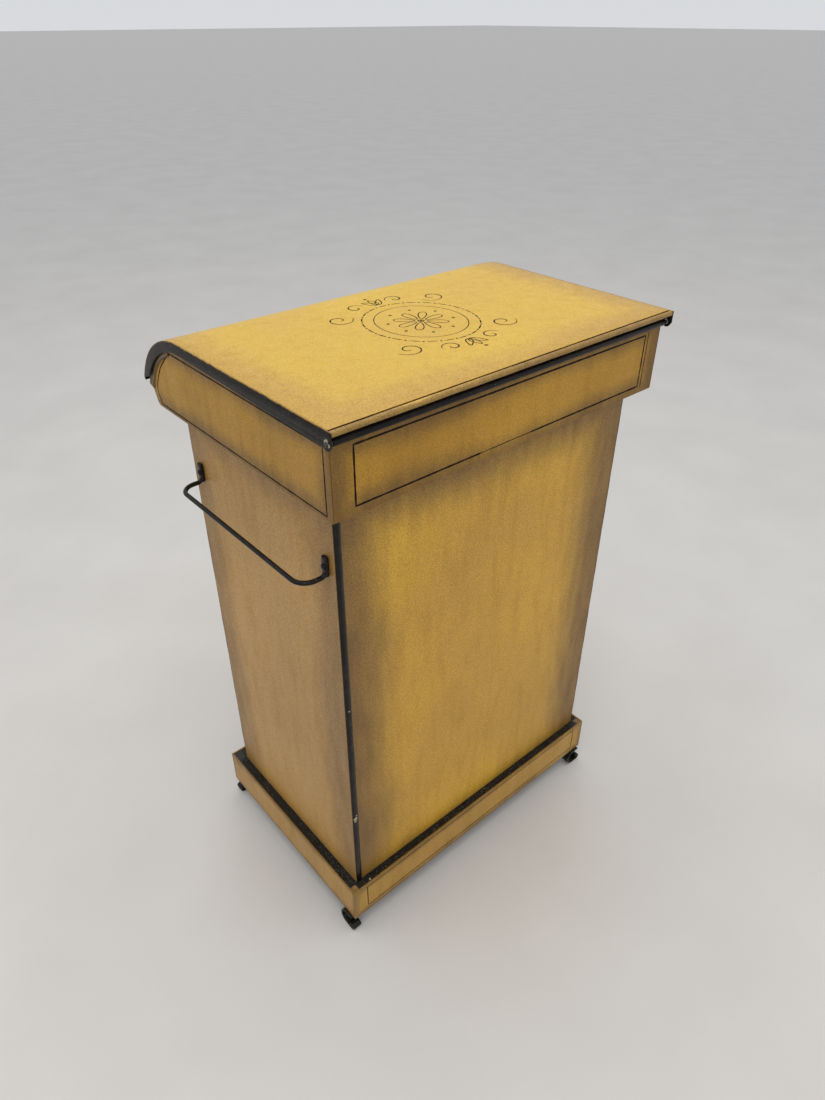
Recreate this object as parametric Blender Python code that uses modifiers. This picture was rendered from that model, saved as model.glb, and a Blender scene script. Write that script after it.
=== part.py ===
"""A tall lidded bin of painted sheet metal, as an assembly of its separate pieces.

The bin stands on four curled iron feet. X runs along its width, with a handle at each end, -Y is the
front, where the lid rolls down, and +Y is the back, where the lid is hinged. Z is up from the floor.
Heights in the driving dimensions are taken from the underside of the plinth, and depths from the
plinth's middle; ORIGIN moves the whole model so that its box stands centred on the world origin.
"""

import math

import bmesh
import bpy
from mathutils import Matrix, Vector

# ---------------------------------------------------------------- driving dimensions, in metres
SHEET = 0.0008  # thickness of every bent sheet
GAP = 0.0003  # clearance between pieces that touch

BODY_WIDTH = 0.403
BODY_DEPTH = 0.257
BODY_CENTRE_Y = 0.0035
BODY_BOTTOM_Z = 0.006
BODY_TOP_Z = 0.596
BACK_LAP = 0.008  # overlap of the two halves of the back
BACK_SEAM_X = -0.020  # middle of that overlap
CORNER_STRIP_WIDTH = 0.008
CORNER_STRIP_THICKNESS = 0.0018
CORNER_STRIP_EDGE = 0.0006  # thickness of a strip at its two edges

PLINTH_HEIGHT = 0.052
LEDGE_WIDTH_X = 0.0135  # from the body's end to the outside of the plinth
LEDGE_WIDTH_Y = 0.0155  # the same at the front and back, on average
LEDGE_DROP = 0.0006  # the ledges lie this far below the tops of the rails
RAIL_THICKNESS = 0.002

HOOD_OVERHANG_X = 0.0136  # from the body's end to the hood's end
HOOD_OVERHANG_BACK = 0.0225
HOOD_LAP = 0.0103  # how far the hood comes down over the body
HOOD_END_TOP_CHAMFER = 0.004

ROLL_SETBACK = 0.0433  # from the body's front to the axis of the rolled front
ROLL_DROP = 0.0145  # from the hood's bottom down to that axis
LID_RADIUS = 0.1010  # outside of the lid's rolled front
LID_ROLL_END = math.radians(66)
LID_OVERHANG_X = 0.0038  # from the hood's end to the outside of the lid's flange
LID_OVERHANG_BACK = 0.0100
FLANGE_FRONT_DEPTH = 0.0110
FLANGE_BACK_DEPTH = 0.0160
FLANGE_TIP = math.radians(59)  # where the inner edge ends, so that the tip is cut level
BEAD_RADIUS = 0.0029
HEM_RADIUS = 0.0016

APRON_INSET = 0.0070  # from the outside of the lid's roll to the outside of the hood's apron
APRON_START = math.radians(20)
APRON_END = math.radians(68)
APRON_LAP = 0.009  # width of the apron's laps over the end panels
SHOULDER_STEP = math.radians(4)  # the end panels rise from the apron to the lid over this angle
SKIRT_LAP = math.radians(8)  # how far the skirt reaches up under the apron
SKIRT_KNEE_INSET = 0.0050  # from the outside of the apron to the top of the skirt's slope
SKIRT_SLANT = 0.0072  # how far the slope runs back on its way down
SKIRT_CORNER_RADIUS = 0.007

HINGE_TUBE_RADIUS = 0.0032
HINGE_ROD_RADIUS = 0.0020
HINGE_RISE = 0.0038  # from the lower edge of the flanges, at the back, up to the hinge's axis
HINGE_EAR_RADIUS = 0.0055
HINGE_EAR_END = math.radians(235)  # where the ear round the rod meets the flange's back edge
HINGE_ROD_OVERHANG = 0.0012  # how far each peened end stands out of its flange
HINGE_ROD_CHAMFER = 0.0006

HANDLE_WIRE_RADIUS = 0.0025
HANDLE_FRONT_INSET = 0.0175  # from the body's front to the centre of the right handle's flat end
HANDLE_BACK_INSET = 0.0115
HANDLE_REACH = 0.029  # from the end panel to the grip's centre line
HANDLE_DROP = 0.0757  # from the hood's bottom down to the wire
HANDLE_CORNER_RADIUS = 0.016
HANDLE_HEEL_RADIUS = 0.006
TAB_HEIGHT = 0.022
TAB_WIDTH = 0.008
TAB_THICKNESS = 0.0040
TAB_CORNER_RADIUS = 0.0036
HANDLE_ROOT_RATIO = 0.6  # the wire against its full radius, inside the flattened end
HANDLE_ROOT_STEPS = 2  # straight pieces of the heel over which the wire reaches its full radius
HANDLE_START = 0.0010  # how far above the heel the wire starts
HANDLE_RIVET_RADIUS = 0.0016
HANDLE_RIVET_HEAD_RADIUS = 0.0034
HANDLE_RIVET_HEAD_HEIGHT = 0.0016

FOOT_HEIGHT = 0.025
FOOT_STRAP_WIDTH = 0.012
FOOT_STRAP_THICKNESS = 0.0025
FOOT_OUTSET = 0.003  # how far a strap stands out past the side of the plinth
FOOT_CURL_CENTRE = 0.0145  # from the plinth's corner to the middle of the big curl
FOOT_TOE_CENTRE = 0.0052  # from the plinth's corner to the middle of the rolled toe
FOOT_TOE_RADIUS = 0.0036
FOOT_TOE_TURN = math.radians(235)
FOOT_ARC_STEP = math.radians(18)
FOOT_PLATE_SIZE = 0.034
FOOT_PLATE_THICKNESS = 0.002
FOOT_RIVET_RADIUS = 0.0015
FOOT_RIVET_HEAD_RADIUS = 0.0026
FOOT_RIVET_HEAD_HEIGHT = 0.0012
FOOT_RIVET_FROM_CORNER = 0.0100
FOOT_RIVET_INSET = 0.0052  # from the side of the plinth

RIVET_HOLE_CLEARANCE = 0.0003
TAIL_RADIUS_RATIO = 1.6  # a rivet's flattened tail against its shank
TAIL_HEIGHT = 0.0008

ROLL_STEP = math.radians(5)
FINE_STEP = math.radians(15)  # on small bends
BEND_STEPS = 5  # straight pieces in a quarter bend of a handle's wire
CROWN_STEPS = 6  # straight pieces across a corner strip
DOME_STEPS = 4  # straight pieces up a rivet's head
TAB_CORNER_STEPS = 3
ROUND_SEGMENTS = 16
SMOOTH_ANGLE = math.radians(35)
WELD = 0.00001

# ---------------------------------------------------------------- sizes that follow from them
BODY_BACK_Y = BODY_CENTRE_Y + BODY_DEPTH / 2
BODY_FRONT_Y = BODY_CENTRE_Y - BODY_DEPTH / 2
BODY_END_X = BODY_WIDTH / 2
PLINTH_WIDTH = BODY_WIDTH + 2 * LEDGE_WIDTH_X
PLINTH_DEPTH = BODY_DEPTH + 2 * LEDGE_WIDTH_Y

HOOD_END_X = BODY_END_X + HOOD_OVERHANG_X
HOOD_BACK_Y = BODY_BACK_Y + HOOD_OVERHANG_BACK
HOOD_BOTTOM_Z = BODY_TOP_Z - HOOD_LAP
FRONT_ROLL_Y = BODY_FRONT_Y + ROLL_SETBACK
FRONT_ROLL_Z = HOOD_BOTTOM_Z - ROLL_DROP
APRON_RADIUS = LID_RADIUS - APRON_INSET
SKIRT_KNEE_Y = FRONT_ROLL_Y - (APRON_RADIUS - SKIRT_KNEE_INSET) * math.sin(APRON_END)
SKIRT_KNEE_Z = FRONT_ROLL_Z + (APRON_RADIUS - SKIRT_KNEE_INSET) * math.cos(APRON_END)
SKIRT_BOTTOM_Y = SKIRT_KNEE_Y + SKIRT_SLANT

LID_TOP_Z = FRONT_ROLL_Z + LID_RADIUS
LID_UNDERSIDE_Z = LID_TOP_Z - SHEET
LID_BACK_Y = HOOD_BACK_Y + LID_OVERHANG_BACK
FLANGE_X = HOOD_END_X + LID_OVERHANG_X
BEAD_Y = LID_BACK_Y - BEAD_RADIUS
BEAD_Z = LID_TOP_Z - BEAD_RADIUS
HEM_TRACK_RADIUS = LID_RADIUS - SHEET / 2
HEM_ANGLE = LID_ROLL_END + (GAP + HEM_RADIUS) / HEM_TRACK_RADIUS
HEM_Y = FRONT_ROLL_Y - HEM_TRACK_RADIUS * math.sin(HEM_ANGLE)
HEM_Z = FRONT_ROLL_Z + HEM_TRACK_RADIUS * math.cos(HEM_ANGLE)

HINGE_Y = HOOD_BACK_Y + GAP + HINGE_TUBE_RADIUS
HINGE_Z = LID_TOP_Z - FLANGE_BACK_DEPTH + HINGE_RISE
HOOD_REAR_TOP_Z = HINGE_Z

HANDLE_SPAN = BODY_DEPTH - HANDLE_FRONT_INSET - HANDLE_BACK_INSET
HANDLE_SHIFT_Y = (HANDLE_FRONT_INSET - HANDLE_BACK_INSET) / 2
HANDLE_ARM_Z = HOOD_BOTTOM_Z - HANDLE_DROP

FRONT_REACH_Y = HEM_Y - HEM_RADIUS
ORIGIN = Vector((0.0, (FRONT_REACH_Y + LID_BACK_Y) / 2, -FOOT_HEIGHT))

YELLOW = (0.46, 0.30, 0.07)
DARK_YELLOW = (0.30, 0.19, 0.05)
BLACK = (0.02, 0.02, 0.02)
IRON = (0.05, 0.05, 0.05)


# ---------------------------------------------------------------- helpers
def start_scene():
    """Empty the scene and make one collection for the bin and one for its cutters."""
    for item in list(bpy.data.objects):
        bpy.data.objects.remove(item, do_unlink=True)
    made = []
    for name in ("painted_bin", "cutters"):
        collection = bpy.data.collections.new(name)
        bpy.context.scene.collection.children.link(collection)
        made.append(collection)
    return made


def make_material(name, colour, roughness, metallic):
    """A Principled material with the piece's colour, roughness and metallic value."""
    material = bpy.data.materials.new(name)
    material.use_nodes = True
    shader = material.node_tree.nodes["Principled BSDF"]
    shader.inputs["Base Color"].default_value = (*colour, 1.0)
    shader.inputs["Roughness"].default_value = roughness
    shader.inputs["Metallic"].default_value = metallic
    return material


def place(item, location, rotation=(0.0, 0.0, 0.0)):
    """Put an object at a point given from the plinth, turned by Euler angles."""
    item.location = Vector(location) - ORIGIN
    item.rotation_euler = rotation
    return item


def add_mesh(name, mesh, colour, roughness=0.5, metallic=0.0):
    item = bpy.data.objects.new(name, mesh)
    BIN.objects.link(item)
    if colour is not None:
        mesh.materials.append(make_material(name, colour, roughness, metallic))
    return item


def box(name, low, high, colour, roughness=0.5):
    """A plain plate or bar between two corners, from a primitive cube."""
    low = Vector(low)
    high = Vector(high)
    mesh = bpy.data.meshes.new(name)
    cube = bmesh.new()
    bmesh.ops.create_cube(cube, size=1.0, matrix=Matrix.Diagonal((*(high - low), 1.0)))
    cube.to_mesh(mesh)
    cube.free()
    return place(add_mesh(name, mesh, colour, roughness), (low + high) / 2)


def add_spline(curve, points, closed):
    """Add a line of points, (X, Y) on a flat curve or (X, Y, Z, relative radius) on a wire."""
    spline = curve.splines.new("POLY")
    spline.points.add(len(points) - 1)
    for slot, point in zip(spline.points, points):
        x, y, z, radius = point if len(point) == 4 else (*point, 0.0, 1.0)
        slot.co = (x, y, z, 1.0)
        slot.radius = radius
    spline.use_cyclic_u = closed


def add_curve(name, curve, colour, roughness, metallic=0.0):
    curve.materials.append(make_material(name, colour, roughness, metallic))
    item = bpy.data.objects.new(name, curve)
    BIN.objects.link(item)
    return item


def flat_plate(name, outlines, thickness, colour, roughness=0.5):
    """A plate of the given outlines, the second and later ones being holes, centred on its plane."""
    curve = bpy.data.curves.new(name, "CURVE")
    curve.dimensions = "2D"
    curve.fill_mode = "BOTH"
    curve.extrude = thickness / 2
    for outline in outlines:
        add_spline(curve, outline, True)
    return add_curve(name, curve, colour, roughness)


def bent_sheet(name, profile, width, thickness, inward, colour, roughness=0.5):
    """A sheet bent to a profile and extruded to a width. The profile is its outside if inward is
    True, and its inside if it is False, as seen with the profile running left to right."""
    curve = bpy.data.curves.new(name, "CURVE")
    curve.dimensions = "2D"
    curve.fill_mode = "NONE"
    curve.extrude = width / 2
    add_spline(curve, profile, False)
    item = add_curve(name, curve, colour, roughness)
    solid = item.modifiers.new("sheet", "SOLIDIFY")
    solid.thickness = thickness
    solid.offset = -1.0 if inward else 1.0
    solid.use_even_offset = True
    return item


def wire(name, points, radius, colour, roughness=0.5, metallic=0.0):
    """A round wire along points, with filled ends."""
    curve = bpy.data.curves.new(name, "CURVE")
    curve.dimensions = "3D"
    curve.bevel_depth = radius
    curve.bevel_resolution = 2
    curve.use_fill_caps = True
    add_spline(curve, points, False)
    return add_curve(name, curve, colour, roughness, metallic)


def turned(name, profile, closed, segments, colour, roughness=0.5, metallic=0.0):
    """A turned piece: a profile of (radius, height) points about Z, given from the top down its
    outside to the bottom. A closed profile makes a ring."""
    mesh = bpy.data.meshes.new(name)
    points = [(radius, 0.0, height) for radius, height in profile]
    edges = [(i, i + 1) for i in range(len(points) - 1)]
    if closed:
        edges.append((len(points) - 1, 0))
    mesh.from_pydata(points, edges, [])
    item = add_mesh(name, mesh, colour, roughness, metallic)
    screw = item.modifiers.new("turn", "SCREW")
    screw.axis = "Z"
    screw.steps = segments
    screw.render_steps = segments
    screw.use_merge_vertices = True
    screw.merge_threshold = WELD
    return item


def as_mesh(item):
    """Replace a curve object by a mesh object of the same shape, with its caps welded on."""
    bpy.context.view_layer.update()
    graph = bpy.context.evaluated_depsgraph_get()
    mesh = bpy.data.meshes.new_from_object(item.evaluated_get(graph))
    welded = bmesh.new()
    welded.from_mesh(mesh)
    bmesh.ops.remove_doubles(welded, verts=welded.verts, dist=WELD)
    welded.to_mesh(mesh)
    welded.free()
    name = item.name
    matrix = item.matrix_world.copy()
    bpy.data.objects.remove(item, do_unlink=True)
    made = bpy.data.objects.new(name, mesh)
    BIN.objects.link(made)
    made.matrix_world = matrix
    return made


def as_cutter(item):
    """Move an object to the cutters, out of the model."""
    BIN.objects.unlink(item)
    CUTTERS.objects.link(item)
    item.hide_render = True
    item.display_type = "WIRE"
    return item


def combine(item, other, operation):
    """Join a tool object to an object, or cut it away, with a Boolean modifier."""
    boolean = item.modifiers.new(operation.lower(), "BOOLEAN")
    boolean.operation = operation
    boolean.solver = "EXACT"
    boolean.object = as_cutter(other)
    return item


def smooth(item):
    """Shade the round faces smooth and keep the real edges sharp."""
    item.data.shade_smooth()
    item.data.set_sharp_from_angle(angle=SMOOTH_ANGLE)
    return item


def arc(centre, radius, start, end, step=ROLL_STEP):
    """Points on an arc about a centre. Angles are measured from +Z towards -Y."""
    count = max(2, round(abs(end - start) / step))
    angles = [start + (end - start) * i / count for i in range(count + 1)]
    return [
        (centre[0] - radius * math.sin(angle), centre[1] + radius * math.cos(angle))
        for angle in angles
    ]


def circle(centre, radius, segments=ROUND_SEGMENTS):
    turns = [2 * math.pi * i / segments for i in range(segments)]
    return [(centre[0] + radius * math.cos(a), centre[1] + radius * math.sin(a)) for a in turns]


# A curve drawn flat in (Y, Z) and thickened along X.
ACROSS = (math.pi / 2, 0.0, math.pi / 2)
FRONT_ROLL = (FRONT_ROLL_Y, FRONT_ROLL_Z)


# ---------------------------------------------------------------- body
def handle_centre_y(side):
    """The two handles are the same piece, and the left one is turned half round about Z."""
    return BODY_CENTRE_Y + side * HANDLE_SHIFT_Y


def handle_hole_centres(side):
    """Where the rivets of a handle go through an end panel, as (Y, Z)."""
    height = HANDLE_ARM_Z + TAB_HEIGHT / 2
    centre = handle_centre_y(side)
    return [(centre - HANDLE_SPAN / 2, height), (centre + HANDLE_SPAN / 2, height)]


def build_body():
    for side, name in ((-1, "left"), (1, "right")):
        outline = [
            (BODY_FRONT_Y, BODY_BOTTOM_Z),
            (BODY_BACK_Y, BODY_BOTTOM_Z),
            (BODY_BACK_Y, BODY_TOP_Z),
            (BODY_FRONT_Y, BODY_TOP_Z),
        ]
        hole = HANDLE_RIVET_RADIUS + RIVET_HOLE_CLEARANCE
        holes = [circle(centre, hole) for centre in handle_hole_centres(side)]
        panel = flat_plate(f"body_end_{name}", [outline, *holes], SHEET, YELLOW)
        place(panel, (side * (BODY_END_X - SHEET / 2), 0.0, 0.0), ACROSS)

    inner_x = BODY_END_X - SHEET - GAP
    box(
        "body_front",
        (-inner_x, BODY_FRONT_Y, BODY_BOTTOM_Z),
        (inner_x, BODY_FRONT_Y + SHEET, BODY_TOP_Z),
        YELLOW,
    )
    box(
        "body_back_left",
        (-inner_x, BODY_BACK_Y - SHEET, BODY_BOTTOM_Z),
        (BACK_SEAM_X + BACK_LAP / 2, BODY_BACK_Y, BODY_TOP_Z),
        YELLOW,
    )
    build_body_back_right(inner_x)
    floor_y = SHEET + GAP
    lap_room = 2 * SHEET + 2 * GAP
    box(
        "body_floor",
        (-inner_x, BODY_FRONT_Y + floor_y, BODY_BOTTOM_Z),
        (inner_x, BODY_BACK_Y - lap_room, BODY_BOTTOM_Z + SHEET),
        DARK_YELLOW,
    )


def build_body_back_right(inner_x):
    """The right half of the back steps in behind the left half along the seam."""
    step = SHEET + GAP
    start = BACK_SEAM_X - BACK_LAP / 2
    bend = BACK_SEAM_X + BACK_LAP / 2 + GAP
    outside = [
        (start, BODY_BACK_Y - step),
        (bend, BODY_BACK_Y - step),
        (bend + step, BODY_BACK_Y),
        (inner_x, BODY_BACK_Y),
    ]
    inside = [(x, y - SHEET) for x, y in outside]
    panel = flat_plate("body_back_right", [outside + inside[::-1]], BODY_TOP_Z - BODY_BOTTOM_Z, YELLOW)
    place(panel, (0.0, 0.0, (BODY_TOP_Z + BODY_BOTTOM_Z) / 2))


def corner_strip_places():
    """For each strip: its name, the middle of its seat on the body, and its turn about Z. All lie
    on the front or the back but one, which lies on the left end, at the back."""
    half = CORNER_STRIP_WIDTH / 2
    x = BODY_END_X - half
    return (
        ("back_right", (x, BODY_BACK_Y + GAP), 0.0),
        ("front_right", (x, BODY_FRONT_Y - GAP), math.pi),
        ("front_left", (-x, BODY_FRONT_Y - GAP), math.pi),
        ("back_left", (-BODY_END_X - GAP, BODY_BACK_Y - half), math.pi / 2),
    )


def build_corner_strips():
    """Convex strips over the four upright seams."""
    bottom = PLINTH_HEIGHT + GAP
    top = HOOD_BOTTOM_Z - GAP
    half = CORNER_STRIP_WIDTH / 2
    rise = CORNER_STRIP_THICKNESS - CORNER_STRIP_EDGE
    crown = []
    for i in range(CROWN_STEPS + 1):
        x = half * (1 - 2 * i / CROWN_STEPS)
        crown.append((x, CORNER_STRIP_EDGE + rise * (1 - (x / half) ** 2)))
    outline = [(-half, 0.0), (half, 0.0), *crown]
    for name, (x, y), turn in corner_strip_places():
        strip = flat_plate(f"corner_strip_{name}", [outline], top - bottom, BLACK, 0.35)
        place(strip, (x, y, (top + bottom) / 2), (0.0, 0.0, turn))


# ---------------------------------------------------------------- hood
def skirt_profile():
    """The outside of the skirt in side view: up under the apron, over the knee and down the slope,
    ending in a rounded corner that turns in along the bottom."""
    lap = arc(FRONT_ROLL, APRON_RADIUS - SHEET - GAP, APRON_END - SKIRT_LAP, APRON_END)
    slope = math.atan2(SKIRT_BOTTOM_Y - SKIRT_KNEE_Y, SKIRT_KNEE_Z - HOOD_BOTTOM_Z)
    reach = SKIRT_CORNER_RADIUS * math.tan((math.pi / 2 - slope) / 2)
    centre = (SKIRT_BOTTOM_Y + reach, HOOD_BOTTOM_Z + SKIRT_CORNER_RADIUS)
    corner = arc(centre, SKIRT_CORNER_RADIUS, math.pi / 2 + slope, math.pi, FINE_STEP)
    return [*lap, (SKIRT_KNEE_Y, SKIRT_KNEE_Z), *corner]


def hood_end_outline():
    """The side view of the hood: straight back and bottom, slanted skirt, rolled front, flat top."""
    top = LID_UNDERSIDE_Z - 2 * GAP
    roll_top = APRON_START - SHOULDER_STEP
    front = arc(FRONT_ROLL, APRON_RADIUS - SHEET - GAP, roll_top, APRON_END - SKIRT_LAP)
    shoulder = arc(FRONT_ROLL, top - FRONT_ROLL_Z, 0.0, roll_top - SHOULDER_STEP)
    return [
        (HOOD_BACK_Y, HOOD_BOTTOM_Z),
        (HOOD_BACK_Y, top - HOOD_END_TOP_CHAMFER),
        (HOOD_BACK_Y - HOOD_END_TOP_CHAMFER, top),
        *shoulder,
        *front[:-1],
        *skirt_profile(),
    ]


def build_hood_ends():
    for side, name in ((-1, "left"), (1, "right")):
        panel = flat_plate(f"hood_end_{name}", [hood_end_outline()], SHEET, YELLOW)
        place(panel, (side * (HOOD_END_X - SHEET / 2), 0.0, 0.0), ACROSS)


def build_hood_back():
    inner_x = HOOD_END_X - SHEET - GAP
    box(
        "hood_back",
        (-inner_x, HOOD_BACK_Y - SHEET, HOOD_BOTTOM_Z),
        (inner_x, HOOD_BACK_Y, HOOD_REAR_TOP_Z),
        YELLOW,
    )


def build_hood_apron():
    """The rolled front sheet, with a lap folded down over the outside of each end panel."""
    lap_inner_x = HOOD_END_X + GAP
    lap_outer_x = lap_inner_x + SHEET
    roll = arc(FRONT_ROLL, APRON_RADIUS, APRON_START, APRON_END)
    lap_inside = arc(FRONT_ROLL, APRON_RADIUS - APRON_LAP, APRON_END, APRON_START)
    apron = flat_plate("hood_apron", [roll + lap_inside], 2 * lap_outer_x, YELLOW)
    apron = as_mesh(place(apron, (0.0, 0.0, 0.0), ACROSS))
    past = 2 * ROLL_STEP
    room = arc(FRONT_ROLL, APRON_RADIUS - SHEET, APRON_START - past, APRON_END + past)
    room += arc(FRONT_ROLL, APRON_RADIUS - 2 * APRON_LAP, APRON_END + past, APRON_START - past)
    cutter = flat_plate("apron_room", [room], 2 * lap_inner_x, YELLOW)
    cutter = as_mesh(place(cutter, (0.0, 0.0, 0.0), ACROSS))
    combine(apron, cutter, "DIFFERENCE")


def build_hood_skirt():
    """The slanted sheet under the apron, between the end panels."""
    width = 2 * (HOOD_END_X - SHEET - GAP)
    skirt = bent_sheet("hood_skirt", skirt_profile(), width, SHEET, False, YELLOW)
    place(skirt, (0.0, 0.0, 0.0), ACROSS)


def build_hood_soffit():
    """Four strips that close the step between the hood and the body."""
    low = HOOD_BOTTOM_Z
    high = HOOD_BOTTOM_Z + SHEET
    end_x = HOOD_END_X - SHEET - GAP
    back_y = HOOD_BACK_Y - SHEET - GAP
    front_y = skirt_profile()[-1][0] + GAP
    body_x = BODY_END_X + GAP
    body_back = BODY_BACK_Y + GAP
    body_front = BODY_FRONT_Y - GAP
    box("hood_soffit_back", (-end_x, body_back, low), (end_x, back_y, high), YELLOW)
    box("hood_soffit_front", (-end_x, front_y, low), (end_x, body_front, high), YELLOW)
    for side, name in ((-1, "left"), (1, "right")):
        x_low, x_high = sorted((side * body_x, side * end_x))
        box(
            f"hood_soffit_{name}",
            (x_low, body_front + GAP, low),
            (x_high, body_back - GAP, high),
            YELLOW,
        )


def build_hinge_tube():
    """The rolled edge that holds the rod, open right through."""
    outer = HINGE_TUBE_RADIUS
    inner = HINGE_ROD_RADIUS + GAP
    half = HOOD_END_X - SHEET - GAP
    profile = [(outer, half), (outer, -half), (inner, -half), (inner, half)]
    tube = turned("hinge_tube", profile, True, ROUND_SEGMENTS, BLACK, 0.35)
    place(smooth(tube), (0.0, HINGE_Y, HINGE_Z), (0.0, math.pi / 2, 0.0))


# ---------------------------------------------------------------- lid
def lid_profile(offset):
    """The outside of the lid in side view, moved in by an offset, from the back to the front."""
    back = BEAD_Y - BEAD_RADIUS - GAP
    radius = LID_RADIUS - offset
    return [(back, LID_TOP_Z - offset), *arc(FRONT_ROLL, radius, 0.0, LID_ROLL_END)]


def flange_outline():
    """A flange's side view: it follows the lid, and drops round the hinge rod at the back."""
    inner = LID_RADIUS - FLANGE_FRONT_DEPTH
    under = LID_TOP_Z - FLANGE_BACK_DEPTH
    hinge = (HINGE_Y, HINGE_Z)
    start = math.acos((under - HINGE_Z) / HINGE_EAR_RADIUS)
    ear = arc(hinge, HINGE_EAR_RADIUS, start, HINGE_EAR_END, FINE_STEP)
    outer = arc(FRONT_ROLL, LID_RADIUS, 0.0, LID_ROLL_END)
    inside = arc(FRONT_ROLL, inner, FLANGE_TIP, 0.0)
    return [(LID_BACK_Y, LID_TOP_Z), *outer, *inside, *ear, (LID_BACK_Y, HINGE_Z)]


def build_lid(lid):
    inner_x = FLANGE_X - SHEET - GAP
    outline = lid_profile(0.0) + lid_profile(SHEET)[::-1]
    pieces = [flat_plate("lid_sheet", [outline], 2 * inner_x, YELLOW)]
    place(pieces[0], (0.0, 0.0, 0.0), ACROSS)

    hole = circle((HINGE_Y, HINGE_Z), HINGE_ROD_RADIUS + GAP)
    for side, name in ((-1, "left"), (1, "right")):
        flange = flat_plate(f"lid_flange_{name}", [flange_outline(), hole], SHEET, BLACK, 0.35)
        pieces.append(place(flange, (side * (FLANGE_X - SHEET / 2), 0.0, 0.0), ACROSS))

    for name, radius, y, z, colour in (
        ("lid_bead", BEAD_RADIUS, BEAD_Y, BEAD_Z, YELLOW),
        ("lid_hem", HEM_RADIUS, HEM_Y, HEM_Z, BLACK),
    ):
        profile = [(0.0, inner_x), (radius, inner_x), (radius, -inner_x), (0.0, -inner_x)]
        rod = turned(name, profile, False, ROUND_SEGMENTS, colour)
        pieces.append(place(smooth(rod), (0.0, y, z), (0.0, math.pi / 2, 0.0)))

    half = FLANGE_X + HINGE_ROD_OVERHANG
    radius = HINGE_ROD_RADIUS
    chamfer = HINGE_ROD_CHAMFER
    profile = [(0.0, half), (radius - chamfer, half), (radius, half - chamfer)]
    profile += [(r, -h) for r, h in profile[::-1]]
    rod = turned("hinge_rod", profile, False, ROUND_SEGMENTS, IRON, 0.4, 0.8)
    pieces.append(place(smooth(rod), (0.0, HINGE_Y, HINGE_Z), (0.0, math.pi / 2, 0.0)))

    bpy.context.view_layer.update()
    for piece in pieces:
        matrix = piece.matrix_world.copy()
        piece.parent = lid
        piece.matrix_world = matrix


# ---------------------------------------------------------------- plinth
def build_plinth():
    half_x = PLINTH_WIDTH / 2
    half_y = PLINTH_DEPTH / 2
    inner_x = half_x - RAIL_THICKNESS
    inner_y = half_y - RAIL_THICKNESS
    for side, name in ((-1, "front"), (1, "back")):
        y_low, y_high = sorted((side * inner_y, side * half_y))
        box(f"plinth_rail_{name}", (-half_x, y_low, 0.0), (half_x, y_high, PLINTH_HEIGHT), YELLOW)
    for side, name in ((-1, "left"), (1, "right")):
        x_low, x_high = sorted((side * inner_x, side * half_x))
        y = inner_y - GAP
        box(f"plinth_rail_{name}", (x_low, -y, 0.0), (x_high, y, PLINTH_HEIGHT), YELLOW)
    build_ledges(inner_x - GAP, inner_y - GAP)


def build_ledges(outer_x, outer_y):
    """The four ledges round the foot of the body, with a square in each corner."""
    high = PLINTH_HEIGHT - LEDGE_DROP
    low = high - SHEET
    body_x = BODY_END_X + GAP
    body_back = BODY_BACK_Y + GAP
    body_front = BODY_FRONT_Y - GAP
    square_x = body_x + GAP
    for name, y_low, y_high in (
        ("front", -outer_y, body_front),
        ("back", body_back, outer_y),
    ):
        box(f"plinth_ledge_{name}", (-body_x, y_low, low), (body_x, y_high, high), BLACK, 0.4)
        for side, hand in ((-1, "left"), (1, "right")):
            x_low, x_high = sorted((side * square_x, side * outer_x))
            box(f"plinth_corner_{name}_{hand}", (x_low, y_low, low), (x_high, y_high, high), YELLOW)
    for side, name in ((-1, "left"), (1, "right")):
        x_low, x_high = sorted((side * body_x, side * outer_x))
        ends = (body_front + GAP, body_back - GAP)
        box(f"plinth_ledge_{name}", (x_low, ends[0], low), (x_high, ends[1], high), BLACK, 0.4)


# ---------------------------------------------------------------- feet
def foot_edge(offset):
    """One edge of a curled strap in its own plane, at an offset from its middle: X from the
    plinth's corner along the side, Y up from the floor. It runs from the flat top, round the big
    curl and along the floor to the toe, which is rolled up."""
    half = FOOT_STRAP_THICKNESS / 2
    top = FOOT_HEIGHT - GAP - half
    curl = (top - half) / 2
    curl_centre = (FOOT_CURL_CENTRE, half + curl)
    toe_centre = (FOOT_TOE_CENTRE, half + FOOT_TOE_RADIUS)
    return [
        (FOOT_TOE_CENTRE, top + offset),
        *arc(curl_centre, curl + offset, 0.0, -math.pi, FOOT_ARC_STEP),
        *arc(toe_centre, FOOT_TOE_RADIUS + offset, math.pi, math.pi - FOOT_TOE_TURN, FOOT_ARC_STEP),
    ]


def foot_frames():
    """For each foot: its name, its plinth corner, the direction of its strap's plane along the
    side, and the direction inwards. The four are turned round the plinth like a pinwheel."""
    x = PLINTH_WIDTH / 2
    y = PLINTH_DEPTH / 2
    return (
        ("back_right", Vector((x, y, 0.0)), Vector((0.0, -1.0, 0.0)), Vector((-1.0, 0.0, 0.0))),
        ("front_right", Vector((x, -y, 0.0)), Vector((-1.0, 0.0, 0.0)), Vector((0.0, 1.0, 0.0))),
        ("front_left", Vector((-x, -y, 0.0)), Vector((0.0, 1.0, 0.0)), Vector((1.0, 0.0, 0.0))),
        ("back_left", Vector((-x, y, 0.0)), Vector((1.0, 0.0, 0.0)), Vector((0.0, -1.0, 0.0))),
    )


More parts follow.
